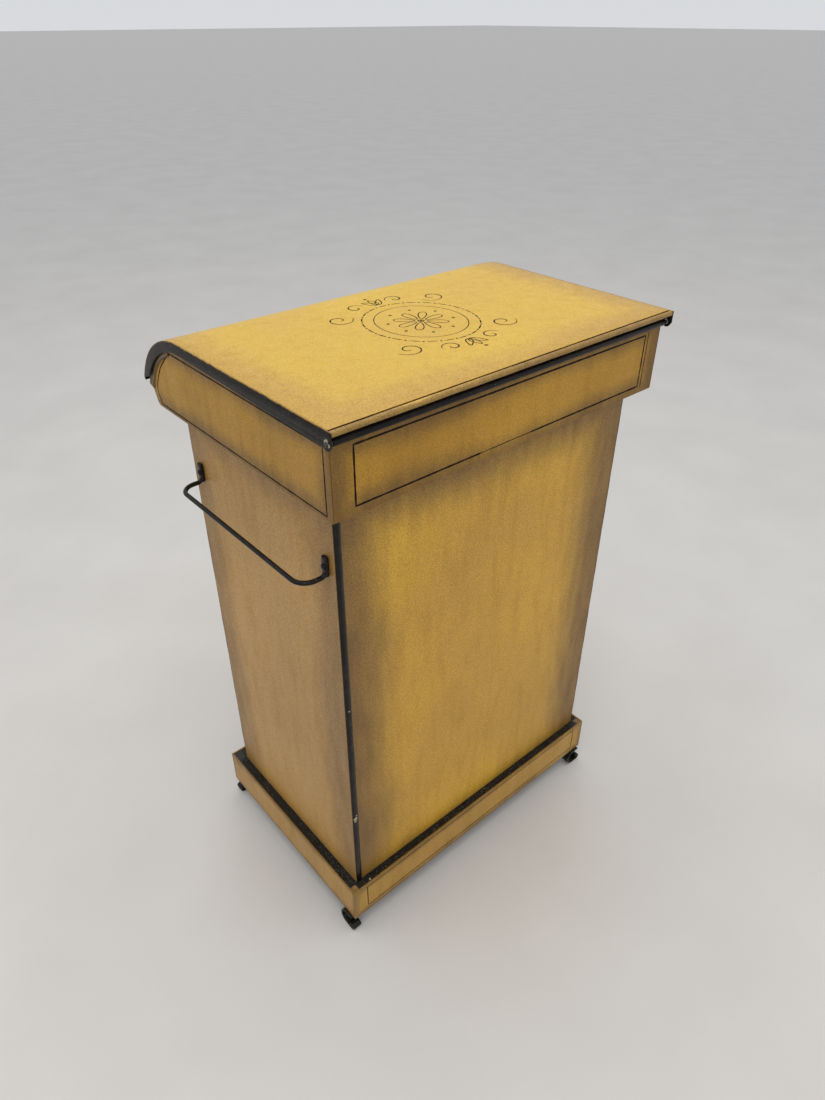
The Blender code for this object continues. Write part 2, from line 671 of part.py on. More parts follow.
def build_feet():
    half = FOOT_STRAP_THICKNESS / 2
    outline = foot_edge(half) + foot_edge(-half)[::-1]
    for name, corner, along, inward in foot_frames():
        floor_point = corner - Vector((0.0, 0.0, FOOT_HEIGHT))
        middle = floor_point + inward * (FOOT_STRAP_WIDTH / 2 - FOOT_OUTSET)
        up = Vector((0.0, 0.0, 1.0))
        turn = Matrix((along, up, along.cross(up))).transposed().to_euler()
        foot = flat_plate(f"foot_{name}", [outline], FOOT_STRAP_WIDTH, IRON, 0.45)
        foot = as_mesh(place(foot, middle, turn))
        rivet_at = corner + along * FOOT_RIVET_FROM_CORNER + inward * FOOT_RIVET_INSET
        drill = drill_for(f"foot_drill_{name}", FOOT_RIVET_RADIUS + RIVET_HOLE_CLEARANCE)
        place(drill, rivet_at - Vector((0.0, 0.0, FOOT_STRAP_THICKNESS / 2 + GAP)))
        combine(foot, drill, "DIFFERENCE")
        build_foot_plate(name, corner, along, inward, rivet_at)


def drill_for(name, radius):
    """A short upright cutter, long enough for a strap or a tab."""
    length = 2 * max(FOOT_STRAP_THICKNESS, TAB_THICKNESS)
    profile = [(0.0, length / 2), (radius, length / 2), (radius, -length / 2), (0.0, -length / 2)]
    return turned(name, profile, False, ROUND_SEGMENTS, None)


def build_foot_plate(name, corner, along, inward, rivet_at):
    """A square plate inside the rails that the foot is riveted to, and its rivet."""
    inset = RAIL_THICKNESS + GAP
    centre = corner + (along + inward) * (inset + FOOT_PLATE_SIZE / 2)
    hole_at = rivet_at - centre
    half = FOOT_PLATE_SIZE / 2
    square = [(-half, -half), (half, -half), (half, half), (-half, half)]
    hole = circle((hole_at.x, hole_at.y), FOOT_RIVET_RADIUS + RIVET_HOLE_CLEARANCE)
    plate = flat_plate(f"foot_plate_{name}", [square, hole], FOOT_PLATE_THICKNESS, DARK_YELLOW)
    plate_z = FOOT_PLATE_THICKNESS / 2
    place(plate, centre + Vector((0.0, 0.0, plate_z)))

    grip = FOOT_STRAP_THICKNESS + FOOT_PLATE_THICKNESS + 2 * GAP
    profile = rivet_profile(
        FOOT_RIVET_RADIUS, FOOT_RIVET_HEAD_RADIUS, FOOT_RIVET_HEAD_HEIGHT, grip + GAP
    )
    rivet = turned(f"foot_rivet_{name}", profile, False, ROUND_SEGMENTS, IRON, 0.45)
    head_z = -GAP - FOOT_STRAP_THICKNESS - GAP
    place(smooth(rivet), rivet_at + Vector((0.0, 0.0, head_z)), (math.pi, 0.0, 0.0))


def rivet_profile(shank, head, head_height, grip):
    """A domed head above the origin, a shank below it as long as the grip, and a flat tail."""
    dome = []
    for i in range(DOME_STEPS + 1):
        angle = math.pi / 2 * i / DOME_STEPS
        dome.append((head * math.sin(angle), head_height * math.cos(angle)))
    tail = shank * TAIL_RADIUS_RATIO
    return [
        *dome,
        (shank, 0.0),
        (shank, -grip),
        (tail, -grip),
        (tail, -grip - TAIL_HEIGHT),
        (0.0, -grip - TAIL_HEIGHT),
    ]


# ---------------------------------------------------------------- handles
def handle_path(side):
    """Points and relative radii of one half of the wire: from inside a flattened end, where it is
    thin, down round the heel to the arm, and out to the middle of the grip; then mirrored."""
    wall = side * (BODY_END_X + GAP + TAB_THICKNESS / 2)
    grip = side * (BODY_END_X + HANDLE_REACH)
    half = HANDLE_SPAN / 2
    heel = HANDLE_HEEL_RADIUS
    bend = HANDLE_CORNER_RADIUS
    path = [(wall, -half, heel + HANDLE_START, HANDLE_ROOT_RATIO)]
    for i in range(BEND_STEPS + 1):
        angle = math.pi / 2 * i / BEND_STEPS
        x = wall + side * heel * (1 - math.cos(angle))
        ratio = min(1.0, HANDLE_ROOT_RATIO + (1 - HANDLE_ROOT_RATIO) * i / HANDLE_ROOT_STEPS)
        path.append((x, -half, heel * (1 - math.sin(angle)), ratio))
    for i in range(BEND_STEPS + 1):
        angle = math.pi / 2 * i / BEND_STEPS
        x = grip - side * bend * (1 - math.sin(angle))
        path.append((x, -half + bend * (1 - math.cos(angle)), 0.0, 1.0))
    return path + [(x, -y, z, ratio) for x, y, z, ratio in path[::-1]]


def tab_outline(y, z):
    """A flattened end of the wire, seen from the side: a strip with rounded corners."""
    half_y = TAB_WIDTH / 2 - TAB_CORNER_RADIUS
    half_z = TAB_HEIGHT / 2 - TAB_CORNER_RADIUS
    points = []
    for corner, (side_y, side_z) in enumerate(((1, 1), (-1, 1), (-1, -1), (1, -1))):
        centre = (y + side_y * half_y, z + side_z * half_z)
        for i in range(TAB_CORNER_STEPS + 1):
            angle = math.pi / 2 * (corner + i / TAB_CORNER_STEPS)
            points.append(
                (
                    centre[0] + TAB_CORNER_RADIUS * math.cos(angle),
                    centre[1] + TAB_CORNER_RADIUS * math.sin(angle),
                )
            )
    return points


def build_handles():
    for side, name in ((-1, "left"), (1, "right")):
        handle = wire(f"handle_{name}", handle_path(side), HANDLE_WIRE_RADIUS, IRON, 0.4)
        handle = as_mesh(place(handle, (0.0, handle_centre_y(side), HANDLE_ARM_Z)))
        tab_x = side * (BODY_END_X + GAP + TAB_THICKNESS / 2)
        for end, (y, z) in zip(("front", "back"), handle_hole_centres(side)):
            tab = flat_plate(f"tab_{name}_{end}", [tab_outline(y, z)], TAB_THICKNESS, IRON)
            combine(handle, as_mesh(place(tab, (tab_x, 0.0, 0.0), ACROSS)), "UNION")
            drill = drill_for(f"drill_{name}_{end}", HANDLE_RIVET_RADIUS + RIVET_HOLE_CLEARANCE)
            place(drill, (tab_x, y, z), (0.0, math.pi / 2, 0.0))
            combine(handle, drill, "DIFFERENCE")
            build_handle_rivet(name, end, side, y, z)


def build_handle_rivet(name, end, side, y, z):
    grip = GAP + TAB_THICKNESS + GAP + SHEET + GAP
    profile = rivet_profile(
        HANDLE_RIVET_RADIUS, HANDLE_RIVET_HEAD_RADIUS, HANDLE_RIVET_HEAD_HEIGHT, grip
    )
    rivet = turned(f"handle_rivet_{name}_{end}", profile, False, ROUND_SEGMENTS, IRON, 0.4)
    head_x = side * (BODY_END_X + 2 * GAP + TAB_THICKNESS)
    place(smooth(rivet), (head_x, y, z), (0.0, side * math.pi / 2, 0.0))


# ---------------------------------------------------------------- the whole bin
BIN, CUTTERS = start_scene()


def build():
    build_body()
    build_corner_strips()
    build_hood_ends()
    build_hood_back()
    build_hood_apron()
    build_hood_skirt()
    build_hood_soffit()
    build_hinge_tube()
    lid = bpy.data.objects.new("lid", None)
    BIN.objects.link(lid)
    place(lid, (0.0, HINGE_Y, HINGE_Z))
    build_lid(lid)
    build_plinth()
    build_feet()
    build_handles()


build()
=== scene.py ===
# %% [markdown]
# # A painted sheet-metal bin with a rolled lid
#
# The bin is folded from thin sheet iron and painted a mustard yellow, glazed with brown and lined
# by hand. Its edges are black. The imported CAD model gives every solid its place. This lesson keeps
# the flat sheets as they are, softens their edges, and models again the pieces whose shape says
# most: the rolled lid, the wires and the painted lines. The curled feet are rounded copies of the CAD straps.

# %% The frame
import math
import random

import bpy
from mathutils import Matrix, Vector


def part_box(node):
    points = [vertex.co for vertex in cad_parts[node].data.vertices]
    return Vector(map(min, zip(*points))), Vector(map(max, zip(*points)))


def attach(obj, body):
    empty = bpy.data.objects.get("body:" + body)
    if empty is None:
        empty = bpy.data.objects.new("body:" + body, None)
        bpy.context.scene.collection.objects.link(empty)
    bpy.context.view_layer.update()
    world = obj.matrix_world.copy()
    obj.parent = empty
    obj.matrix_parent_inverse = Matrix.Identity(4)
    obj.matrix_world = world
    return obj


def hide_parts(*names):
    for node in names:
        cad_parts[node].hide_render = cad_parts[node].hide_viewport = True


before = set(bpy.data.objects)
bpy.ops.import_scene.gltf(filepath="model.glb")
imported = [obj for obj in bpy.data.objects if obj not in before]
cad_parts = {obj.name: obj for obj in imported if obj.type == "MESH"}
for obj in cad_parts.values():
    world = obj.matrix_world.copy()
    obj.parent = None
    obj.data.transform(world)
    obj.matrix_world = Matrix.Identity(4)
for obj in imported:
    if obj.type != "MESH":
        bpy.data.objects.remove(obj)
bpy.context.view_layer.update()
MM = 0.001
print("CAD nodes:", len(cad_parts))

# %% [markdown]
# ## Camera
#
# The camera looks down on the bin from behind its right-hand end. A tall picture taken close by
# needs a wide lens, and that is why the upright edges run together towards the floor.

# %% Camera
PICTURE_HEIGHT = 1100
FOCAL_IN_PIXELS = 782.69
SENSOR = 36.0
HEADING = math.radians(49.23)
PITCH = math.radians(34.47)

camera_data = bpy.data.cameras.new("camera")
camera_data.sensor_fit = "VERTICAL"
camera_data.sensor_height = SENSOR
camera_data.lens = FOCAL_IN_PIXELS * SENSOR / PICTURE_HEIGHT
camera_data.clip_start = 0.01
camera = bpy.data.objects.new("camera", camera_data)
bpy.context.scene.collection.objects.link(camera)
camera.location = (0.5148, 0.60589, 0.95212)
gaze = Vector((
    -math.cos(HEADING) * math.cos(PITCH),
    -math.sin(HEADING) * math.cos(PITCH),
    -math.sin(PITCH),
))
camera.rotation_euler = gaze.to_track_quat("-Z", "Y").to_euler()
bpy.context.scene.camera = camera
print("lens", round(camera_data.lens, 2), "mm")

# %% [markdown]
# ## Materials
#
# Every finish here is a paint, so every material is a Principled shader with metallic at zero. A
# small function adds each node with its settings and links, and another turns a colour as it is
# written for a screen into the linear values that a shader needs.


# %% Colours and nodes
def linear(code):
    """A linear RGBA colour from an sRGB code such as #C89A3C."""
    parts = [int(code[i : i + 2], 16) / 255 for i in (1, 3, 5)]
    return (*[p / 12.92 if p <= 0.04045 else ((p + 0.055) / 1.055) ** 2.4 for p in parts], 1.0)


def add(tree, kind, inputs=(), **settings):
    """Add a node. Each input takes a plain value, or an output of another node to link from."""
    made = tree.nodes.new(kind)
    for key, value in settings.items():
        setattr(made, key, value)
    for key, value in dict(inputs).items():
        if isinstance(value, bpy.types.NodeSocket):
            tree.links.new(value, made.inputs[key])
        else:
            made.inputs[key].default_value = value
    return made


def new_material(name, roughness, **shader_values):
    """A material with a Principled shader, and its node tree and shader."""
    material = bpy.data.materials.new(name)
    material.use_nodes = True
    shader = material.node_tree.nodes["Principled BSDF"]
    shader.inputs["Roughness"].default_value = roughness
    for key, value in shader_values.items():
        shader.inputs[key.replace("_", " ")].default_value = value
    return material, material.node_tree, shader


def grain_of(size):
    """The scale of a noise whose lumps are about this many metres across."""
    return 1.0 / size


print("a mustard yellow is", [round(c, 3) for c in linear("#C89A3C")])

# %% [markdown]
# ## Antiqued yellow enamel
#
# The real finish is a mustard enamel with a brown glaze wiped over it, which stays in the corners
# and thins out in the middle of a panel. Close up the glaze is a fine stipple of brown dots, about
# a millimetre apart. So the colour starts with broad clouds, goes brown towards the edges of its
# own panel, and gets dots whose number grows with the brown. Where the brown is made dark, as on
# the body's back, it is painted shade under the hood and in the corners as well as glaze. The
# stipple is drawn a little coarser than it really is, so that it shows.


# %% Enamel
CLOUD = 170 * MM
STREAK = 14 * MM
STIPPLE = 1.5 * MM
GLAZE_AND_SHADE_WANDER = 34 * MM


def distance_inside(tree, place, low, high, axes):
    """How far a point lies inside a box, along the nearer of two axes."""
    split = add(tree, "ShaderNodeSeparateXYZ", {"Vector": place})
    margins = []
    for axis in axes:
        middle = (low[axis] + high[axis]) / 2
        offset = add(tree, "ShaderNodeMath", {0: split.outputs[axis], 1: middle}, operation="SUBTRACT")
        away = add(tree, "ShaderNodeMath", {0: offset.outputs[0]}, operation="ABSOLUTE")
        half = (high[axis] - low[axis]) / 2
        margin = add(tree, "ShaderNodeMath", {0: half, 1: away.outputs[0]}, operation="SUBTRACT")
        margins.append(margin.outputs[0])
    nearest = add(tree, "ShaderNodeMath", {0: margins[0], 1: margins[1]}, operation="MINIMUM")
    return nearest.outputs[0]


def glazed_and_shaded_enamel(name, box, axes, reach, gold, ochre, umber, depth=0.75, seed=0.0, dotting=0.34):
    """Mustard enamel on one panel, with brown from its edges: glaze, and painted shade where it is dark."""
    material, tree, shader = new_material(name, 0.42)
    place = add(tree, "ShaderNodeTexCoord").outputs["Object"]
    moved = add(tree, "ShaderNodeMapping", {"Vector": place, "Location": (seed, seed / 2, seed / 3)})
    cloud = add(
        tree,
        "ShaderNodeTexNoise",
        {"Vector": moved.outputs[0], "Scale": grain_of(CLOUD), "Detail": 3.0, "Roughness": 0.5},
    )
    spread = add(
        tree, "ShaderNodeMapRange", {"Value": cloud.outputs["Fac"], "From Min": 0.30, "From Max": 0.70}
    )
    body = add(
        tree,
        "ShaderNodeMix",
        {"Factor": spread.outputs[0], 6: linear(ochre), 7: linear(gold)},
        data_type="RGBA",
    )
    streak_place = add(tree, "ShaderNodeMapping", {"Vector": place, "Scale": (1.0, 1.0, 0.22)})
    streak = add(
        tree,
        "ShaderNodeTexNoise",
        {"Vector": streak_place.outputs[0], "Scale": grain_of(STREAK), "Detail": 5.0},
    )
    inside = distance_inside(tree, place, box[0], box[1], axes)
    wander = add(
        tree,
        "ShaderNodeMath",
        {0: cloud.outputs["Fac"], 1: GLAZE_AND_SHADE_WANDER, 2: -GLAZE_AND_SHADE_WANDER / 2},
        operation="MULTIPLY_ADD",
    )
    depth_in = add(tree, "ShaderNodeMath", {0: inside, 1: wander.outputs[0]}, operation="ADD")
    edge = add(
        tree,
        "ShaderNodeMapRange",
        {"Value": depth_in.outputs[0], "From Min": 0.0, "From Max": reach, "To Min": 1.0, "To Max": 0.0},
        interpolation_type="SMOOTHERSTEP",
    )
    uneven = add(
        tree,
        "ShaderNodeMapRange",
        {"Value": streak.outputs["Fac"], "From Min": 0.3, "From Max": 0.7, "To Min": -0.12, "To Max": 0.12},
    )
    # The brown from the edges is glaze, and where umber and depth make it dark it is painted shade too.
    glaze_and_shade = add(
        tree,
        "ShaderNodeMath",
        {0: edge.outputs[0], 1: depth, 2: uneven.outputs[0]},
        operation="MULTIPLY_ADD",
        use_clamp=True,
    )
    brown = add(
        tree,
        "ShaderNodeMix",
        {"Factor": glaze_and_shade.outputs[0], 6: body.outputs[2], 7: linear(umber)},
        data_type="RGBA",
    )
    stipple = add(
        tree, "ShaderNodeTexNoise", {"Vector": place, "Scale": grain_of(STIPPLE), "Detail": 2.0}
    )
    more = add(tree, "ShaderNodeMath", {0: glaze_and_shade.outputs[0], 1: 0.26, 2: dotting}, operation="MULTIPLY_ADD")
    dots = add(
        tree,
        "ShaderNodeMapRange",
        {"Value": stipple.outputs["Fac"], "From Min": 0.40, "From Max": 0.60, "To Min": 1.0, "To Max": 0.0},
    )
    amount = add(tree, "ShaderNodeMath", {0: dots.outputs[0], 1: more.outputs[0]}, operation="MULTIPLY")
    finished = add(
        tree,
        "ShaderNodeMix",
        {"Factor": amount.outputs[0], 6: brown.outputs[2], 7: linear("#5A4018")},
        data_type="RGBA",
    )
    tree.links.new(finished.outputs[2], shader.inputs["Base Color"])
    shine = add(
        tree,
        "ShaderNodeMapRange",
        {"Value": streak.outputs["Fac"], "From Min": 0.3, "From Max": 0.7, "To Min": 0.36, "To Max": 0.52},
    )
    tree.links.new(shine.outputs[0], shader.inputs["Roughness"])
    bump = add(
        tree,
        "ShaderNodeBump",
        {"Height": stipple.outputs["Fac"], "Strength": 0.35, "Distance": 0.05 * MM},
    )
    tree.links.new(bump.outputs[0], shader.inputs["Normal"])
    return material


# %% [markdown]
# ## Black paint
#
# The edges, strips and ledges are painted black over the iron. The paint is thick and a little
# glossy. Where it has been knocked it shows pale specks of filler and bare metal. Sparse specks
# come from a noise of which only the highest peaks are kept, and larger chips are put at the few
# places where this bin has them.


# %% Black paint
SPECK = 0.9 * MM


def chip_mask(tree, place, chips):
    """1 inside any of the chips, each a point and a radius, with ragged edges."""
    ragged = add(tree, "ShaderNodeTexNoise", {"Vector": place, "Scale": grain_of(2.5 * MM), "Detail": 3.0})
    total = None
    for centre, radius in chips:
        gap = add(
            tree, "ShaderNodeVectorMath", {0: place, 1: centre}, operation="DISTANCE"
        )
        edge = add(
            tree,
            "ShaderNodeMath",
            {0: ragged.outputs["Fac"], 1: 2 * radius},
            operation="MULTIPLY",
        )
        inside = add(
            tree,
            "ShaderNodeMath",
            {0: gap.outputs["Value"], 1: edge.outputs[0]},
            operation="LESS_THAN",
        )
        if total is None:
            total = inside.outputs[0]
        else:
            total = add(
                tree, "ShaderNodeMath", {0: total, 1: inside.outputs[0]}, operation="MAXIMUM"
            ).outputs[0]
    return total


def black_paint(name, roughness, specks, black="#0C0A08", worn="#211B13", chips=()):
    """Thick black paint. specks is the level of noise above which the pale filler shows."""
    material, tree, shader = new_material(name, roughness, Specular_IOR_Level=0.22)
    place = add(tree, "ShaderNodeTexCoord").outputs["Object"]
    rubbed = add(
        tree, "ShaderNodeTexNoise", {"Vector": place, "Scale": grain_of(9 * MM), "Detail": 5.0}
    )
    rubbing = add(
        tree, "ShaderNodeMapRange", {"Value": rubbed.outputs["Fac"], "From Min": 0.45, "From Max": 0.75}
    )
    base = add(
        tree,
        "ShaderNodeMix",
        {"Factor": rubbing.outputs[0], 6: linear(black), 7: linear(worn)},
        data_type="RGBA",
    )
    fine = add(
        tree, "ShaderNodeTexNoise", {"Vector": place, "Scale": grain_of(SPECK), "Detail": 2.0}
    )
    speck = add(
        tree,
        "ShaderNodeMapRange",
        {"Value": fine.outputs["Fac"], "From Min": specks, "From Max": specks + 0.03},
    )
    mask = speck.outputs[0]
    if chips:
        knocked = chip_mask(tree, place, chips)
        mask = add(tree, "ShaderNodeMath", {0: mask, 1: knocked}, operation="MAXIMUM").outputs[0]
    finished = add(
        tree,
        "ShaderNodeMix",
        {"Factor": mask, 6: base.outputs[2], 7: linear("#A39A86")},
        data_type="RGBA",
    )
    tree.links.new(finished.outputs[2], shader.inputs["Base Color"])
    bump = add(
        tree,
        "ShaderNodeBump",
        {"Height": fine.outputs["Fac"], "Strength": 0.5, "Distance": 0.15 * MM},
    )
    tree.links.new(bump.outputs[0], shader.inputs["Normal"])
    return material


# %% [markdown]
# ## Soft edges on the folded sheets
#
# Sheet iron never has a knife edge after painting. A Weld modifier joins the loose triangles of a
# CAD solid, and a Bevel rounds its edges, both live, so that the CAD mesh itself stays as it is.


# %% Softened CAD sheets
def soften(node, width):
    """Round the edges of a CAD solid with live modifiers."""
    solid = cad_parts[node]
    weld = solid.modifiers.new("weld", "WELD")
    weld.merge_threshold = 0.01 * MM
    bevel = solid.modifiers.new("soft_edge", "BEVEL")
    bevel.width = width
    bevel.segments = 2
    bevel.limit_method = "ANGLE"
    bevel.angle_limit = math.radians(40)
    bevel.harden_normals = True
    return solid


def paint(node, material):
    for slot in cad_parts[node].material_slots:
        slot.material = material


FACING_X = (1, 2)
FACING_Y = (0, 2)
FACING_Z = (0, 1)
ENDS = ("left", "right")
CORNERS = ("back_left", "back_right", "front_left", "front_right")

body_low = Vector((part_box("body_end_left")[0].x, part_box("body_front")[0].y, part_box("body_front")[0].z))
body_high = Vector((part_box("body_end_right")[1].x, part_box("body_back_left")[1].y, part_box("body_front")[1].z))
body_box = (body_low, body_high)

# The back's darker brown and deeper glaze are painted shade under the hood and in the corners, over the real
# glaze.
back_enamel = glazed_and_shaded_enamel(
    "glazed_enamel_back", body_box, FACING_Y, 96 * MM, "#DCAA30", "#C69636", "#7E5D2C", depth=0.9
)
front_enamel = glazed_and_shaded_enamel(
    "glazed_enamel_front", body_box, FACING_Y, 90 * MM, "#D5A22F", "#C19136", "#8E6A32", seed=3.0
)
end_enamel = glazed_and_shaded_enamel(
    "glazed_enamel_ends", body_box, FACING_X, 70 * MM, "#C2934A", "#B38A48", "#8C6A38", seed=5.0
)
floor_enamel = glazed_and_shaded_enamel(
    "glazed_enamel_floor", body_box, FACING_Z, 80 * MM, "#A67D3A", "#8F6B35", "#6B4F28", seed=8.0
)
for node, material in (
    ("body_back_left", back_enamel),
    ("body_back_right", back_enamel),
    ("body_front", front_enamel),
    ("body_end_left", end_enamel),
    ("body_end_right", end_enamel),
    ("body_floor", floor_enamel),
):
    paint(node, material)
    soften(node, 0.3 * MM)
print("body panels painted")

# %% [markdown]
# ## Hood
#
# The hood stands out from the body all round, and is painted a deeper ochre. Its rolled apron is
# folded over the ends in a band that is browner in the middle. The apron and skirt are curved, so
# they are copies of the CAD solids, merged and shaded smooth. The apron's band follows the axis of
# the roll, at a given depth and at the lid's top less the roll's radius.


# %% Softened copies
def only(piece):
    """Select one piece alone and make it active."""
    bpy.ops.object.select_all(action="DESELECT")
    piece.select_set(True)
    bpy.context.view_layer.objects.active = piece


def apply_modifiers(piece):
    only(piece)
    for modifier in list(piece.modifiers):
        bpy.ops.object.modifier_apply(modifier=modifier.name)


def bevelled(piece, width, segments=3, angle=40):
    bevel = piece.modifiers.new("round", "BEVEL")
    bevel.width = width
    bevel.segments = segments
    bevel.limit_method = "ANGLE"
    bevel.angle_limit = math.radians(angle)
    apply_modifiers(piece)


def smooth_shaded(piece, angle=40):
    only(piece)
    bpy.ops.object.shade_smooth_by_angle(angle=math.radians(angle))


def finish_piece(piece, name, body, material, slot, *nodes):
    """Name a finished piece, set its place in its mesh, give it its paint, hang it on its body and hide the CAD
    nodes it replaces.
    """
    only(piece)
    bpy.ops.object.transform_apply(location=True, rotation=True, scale=True)
    piece.name = name
    piece.data.name = name
    piece.data.materials.clear()
    piece.data.materials.append(material)
    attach(piece, body)
    if nodes:
        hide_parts(*nodes)
    print(f"{name}: {len(piece.data.polygons)} faces")
    return piece


def softened_copy(node, width, segments=3, angle=40):
    """A copy of a CAD solid with merged corners, rounded edges and smooth shading."""
    piece = bpy.data.objects.new(f"soft_{node}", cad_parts[node].data.copy())
    bpy.context.scene.collection.objects.link(piece)
    only(piece)
    bpy.ops.object.mode_set(mode="EDIT")
    bpy.ops.mesh.select_all(action="SELECT")
    bpy.ops.mesh.remove_doubles(threshold=0.01 * MM)
    bpy.ops.mesh.dissolve_limited(angle_limit=math.radians(0.5))
    bpy.ops.object.mode_set(mode="OBJECT")
    if piece.data.has_custom_normals:
        bpy.ops.mesh.customdata_custom_splitnormals_clear()
    bevelled(piece, width, segments, angle)
    smooth_shaded(piece, angle)
    return piece


# %% [markdown]
# ## Soldered seam
#
# The two halves of the back overlap near the middle and are soldered. The solder fills the step
# between them almost flush, and under the paint it shows as one faint upright line. It is a thin
# bar with rounded edges, in the groove of the seam.

# %% Solder in the seam
SOLDER_DEPTH = 0.9 * MM
SOLDER_WIDTH = 1.9 * MM
SOLDER_SINK = 0.05 * MM

seam_low, seam_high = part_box("body_back_left")
bpy.ops.object.select_all(action="DESELECT")
bpy.ops.mesh.primitive_cube_add(
    size=1.0,
    location=(
        seam_high.x + 0.45 * SOLDER_WIDTH,
        seam_high.y - SOLDER_SINK - SOLDER_DEPTH / 2,
        (seam_low.z + seam_high.z) / 2,
    ),
)
solder = bpy.context.active_object
solder.scale = (SOLDER_WIDTH, SOLDER_DEPTH, seam_high.z - seam_low.z)
bpy.ops.object.transform_apply(location=True, rotation=True, scale=True)
bevelled(solder, 0.35 * MM, 3)
smooth_shaded(solder, 60)
finish_piece(solder, "soldered_seam", "bin", back_enamel, "yellow_paint")

# %% Hood
hood_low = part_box("hood_end_left")[0]
hood_high = Vector((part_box("hood_end_right")[1].x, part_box("hood_back")[1].y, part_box("hood_back")[1].z))
hood_box = (hood_low, hood_high)
lid_low, lid_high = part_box("lid_sheet")
ROLL_RADIUS = 101 * MM
ROLL_Y = -75.97 * MM
ROLL_Z = lid_high.z - ROLL_RADIUS

hood_back_enamel = glazed_and_shaded_enamel(
    "glazed_enamel_hood_back", hood_box, FACING_Y, 34 * MM, "#C6941A", "#AB7C12", "#68480A", seed=11.0
)
hood_end_enamel = glazed_and_shaded_enamel(
    "glazed_enamel_hood_ends", hood_box, FACING_X, 30 * MM, "#BA8911", "#A27513", "#6C4C0D", seed=13.0
)
soffit_enamel = glazed_and_shaded_enamel(
    "glazed_enamel_soffit", hood_box, FACING_Z, 30 * MM, "#A67D3A", "#96713A", "#6B4F28", seed=17.0
)


def roll_distance(tree, place):
    """Distance from the axis of the roll, in metres."""
    flat = add(tree, "ShaderNodeVectorMath", {0: place, 1: (0.0, 1.0, 1.0)}, operation="MULTIPLY")
    centre = (0.0, ROLL_Y, ROLL_Z)
    return add(
        tree, "ShaderNodeVectorMath", {0: flat.outputs[0], 1: centre}, operation="DISTANCE"
    ).outputs["Value"]


def apron_enamel():
    """Ochre with a brown band along the folded lap, dark in its middle and along its inside, partly as painted
    shade under the lid's flange.
    """
    material, tree, shader = new_material("apron_enamel", 0.42)
    place = add(tree, "ShaderNodeTexCoord").outputs["Object"]
    wobble = add(tree, "ShaderNodeTexNoise", {"Vector": place, "Scale": grain_of(12 * MM), "Detail": 4.0})
    radius = roll_distance(tree, place)
    shift = add(
        tree,
        "ShaderNodeMath",
        {0: wobble.outputs["Fac"], 1: 1.6 * MM, 2: radius},
        operation="MULTIPLY_ADD",
    )
    ramp = add(
        tree,
        "ShaderNodeMapRange",
        {"Value": shift.outputs[0], "From Min": 86.4 * MM, "From Max": 95.8 * MM},
    )
    band = add(tree, "ShaderNodeValToRGB", {"Fac": ramp.outputs[0]})
    # The dark stops are the lap's brown paint and partly painted shade under the lid's flange.
    stops = band.color_ramp.elements
    stops[0].position = 0.0
    stops[0].color = linear("#2A1D0E")
    stops[1].position = 1.0
    stops[1].color = linear("#AD9668")
    middle_stops = (
        (0.10, "#2A1D0E"), (0.17, "#8A6E42"), (0.36, "#4F3920"), (0.60, "#2E2014"), (0.80, "#5A4428"),
    )
    for position, code in middle_stops:
        stop = stops.new(position)
        stop.color = linear(code)
    normal = add(tree, "ShaderNodeTexCoord").outputs["Normal"]
    facing = add(tree, "ShaderNodeSeparateXYZ", {"Vector": normal})
    sideways = add(tree, "ShaderNodeMath", {0: facing.outputs[0]}, operation="ABSOLUTE")
    on_lap = add(tree, "ShaderNodeMath", {0: sideways.outputs[0], 1: 0.6}, operation="GREATER_THAN")
    sheet = add(
        tree,
        "ShaderNodeMix",
        {"Factor": on_lap.outputs[0], 6: linear("#B0801A"), 7: band.outputs[0]},
        data_type="RGBA",
    )
    stipple = add(tree, "ShaderNodeTexNoise", {"Vector": place, "Scale": grain_of(STIPPLE), "Detail": 2.0})
    dots = add(
        tree,
        "ShaderNodeMapRange",
        {"Value": stipple.outputs["Fac"], "From Min": 0.35, "From Max": 0.65, "To Min": 0.35, "To Max": 0.0},
    )
    finished = add(
        tree,
        "ShaderNodeMix",
        {"Factor": dots.outputs[0], 6: sheet.outputs[2], 7: linear("#4A3417")},
        data_type="RGBA",
    )
    tree.links.new(finished.outputs[2], shader.inputs["Base Color"])
    bump = add(
        tree,
        "ShaderNodeBump",
        {"Height": stipple.outputs["Fac"], "Strength": 0.35, "Distance": 0.05 * MM},
    )
    tree.links.new(bump.outputs[0], shader.inputs["Normal"])
    return material


paint("hood_back", hood_back_enamel)
soften("hood_back", 0.3 * MM)
for end in ENDS:
    paint(f"hood_end_{end}", hood_end_enamel)
    soften(f"hood_end_{end}", 0.3 * MM)
for side in ("front", "back", "left", "right"):
    paint(f"hood_soffit_{side}", soffit_enamel)
    soften(f"hood_soffit_{side}", 0.2 * MM)
for node, name, material in (
    ("hood_apron", "rolled_apron", apron_enamel()),
    ("hood_skirt", "slanted_skirt", hood_back_enamel),
):
    finish_piece(softened_copy(node, 0.25 * MM), name, "bin", material, "yellow_paint", node)

# %% [markdown]
# ## Lid
#
# The lid is one sheet: flat on top, and rolled down at the front round a drum. A plane is the flat
# part. Its front edge is then spun about the axis of the roll, which makes the curve in small even
# steps. Thin sheet is never dead flat, so the plane is cut into a grid and let down by up to a
# quarter of a millimetre in soft hollows, and Solidify then gives the iron its thickness.

# %% Rolled lid
SHEET = 0.8 * MM
ROLL_STEPS = 30
ROLL_TURN = math.radians(66)
LID_HOLLOW = 0.25 * MM


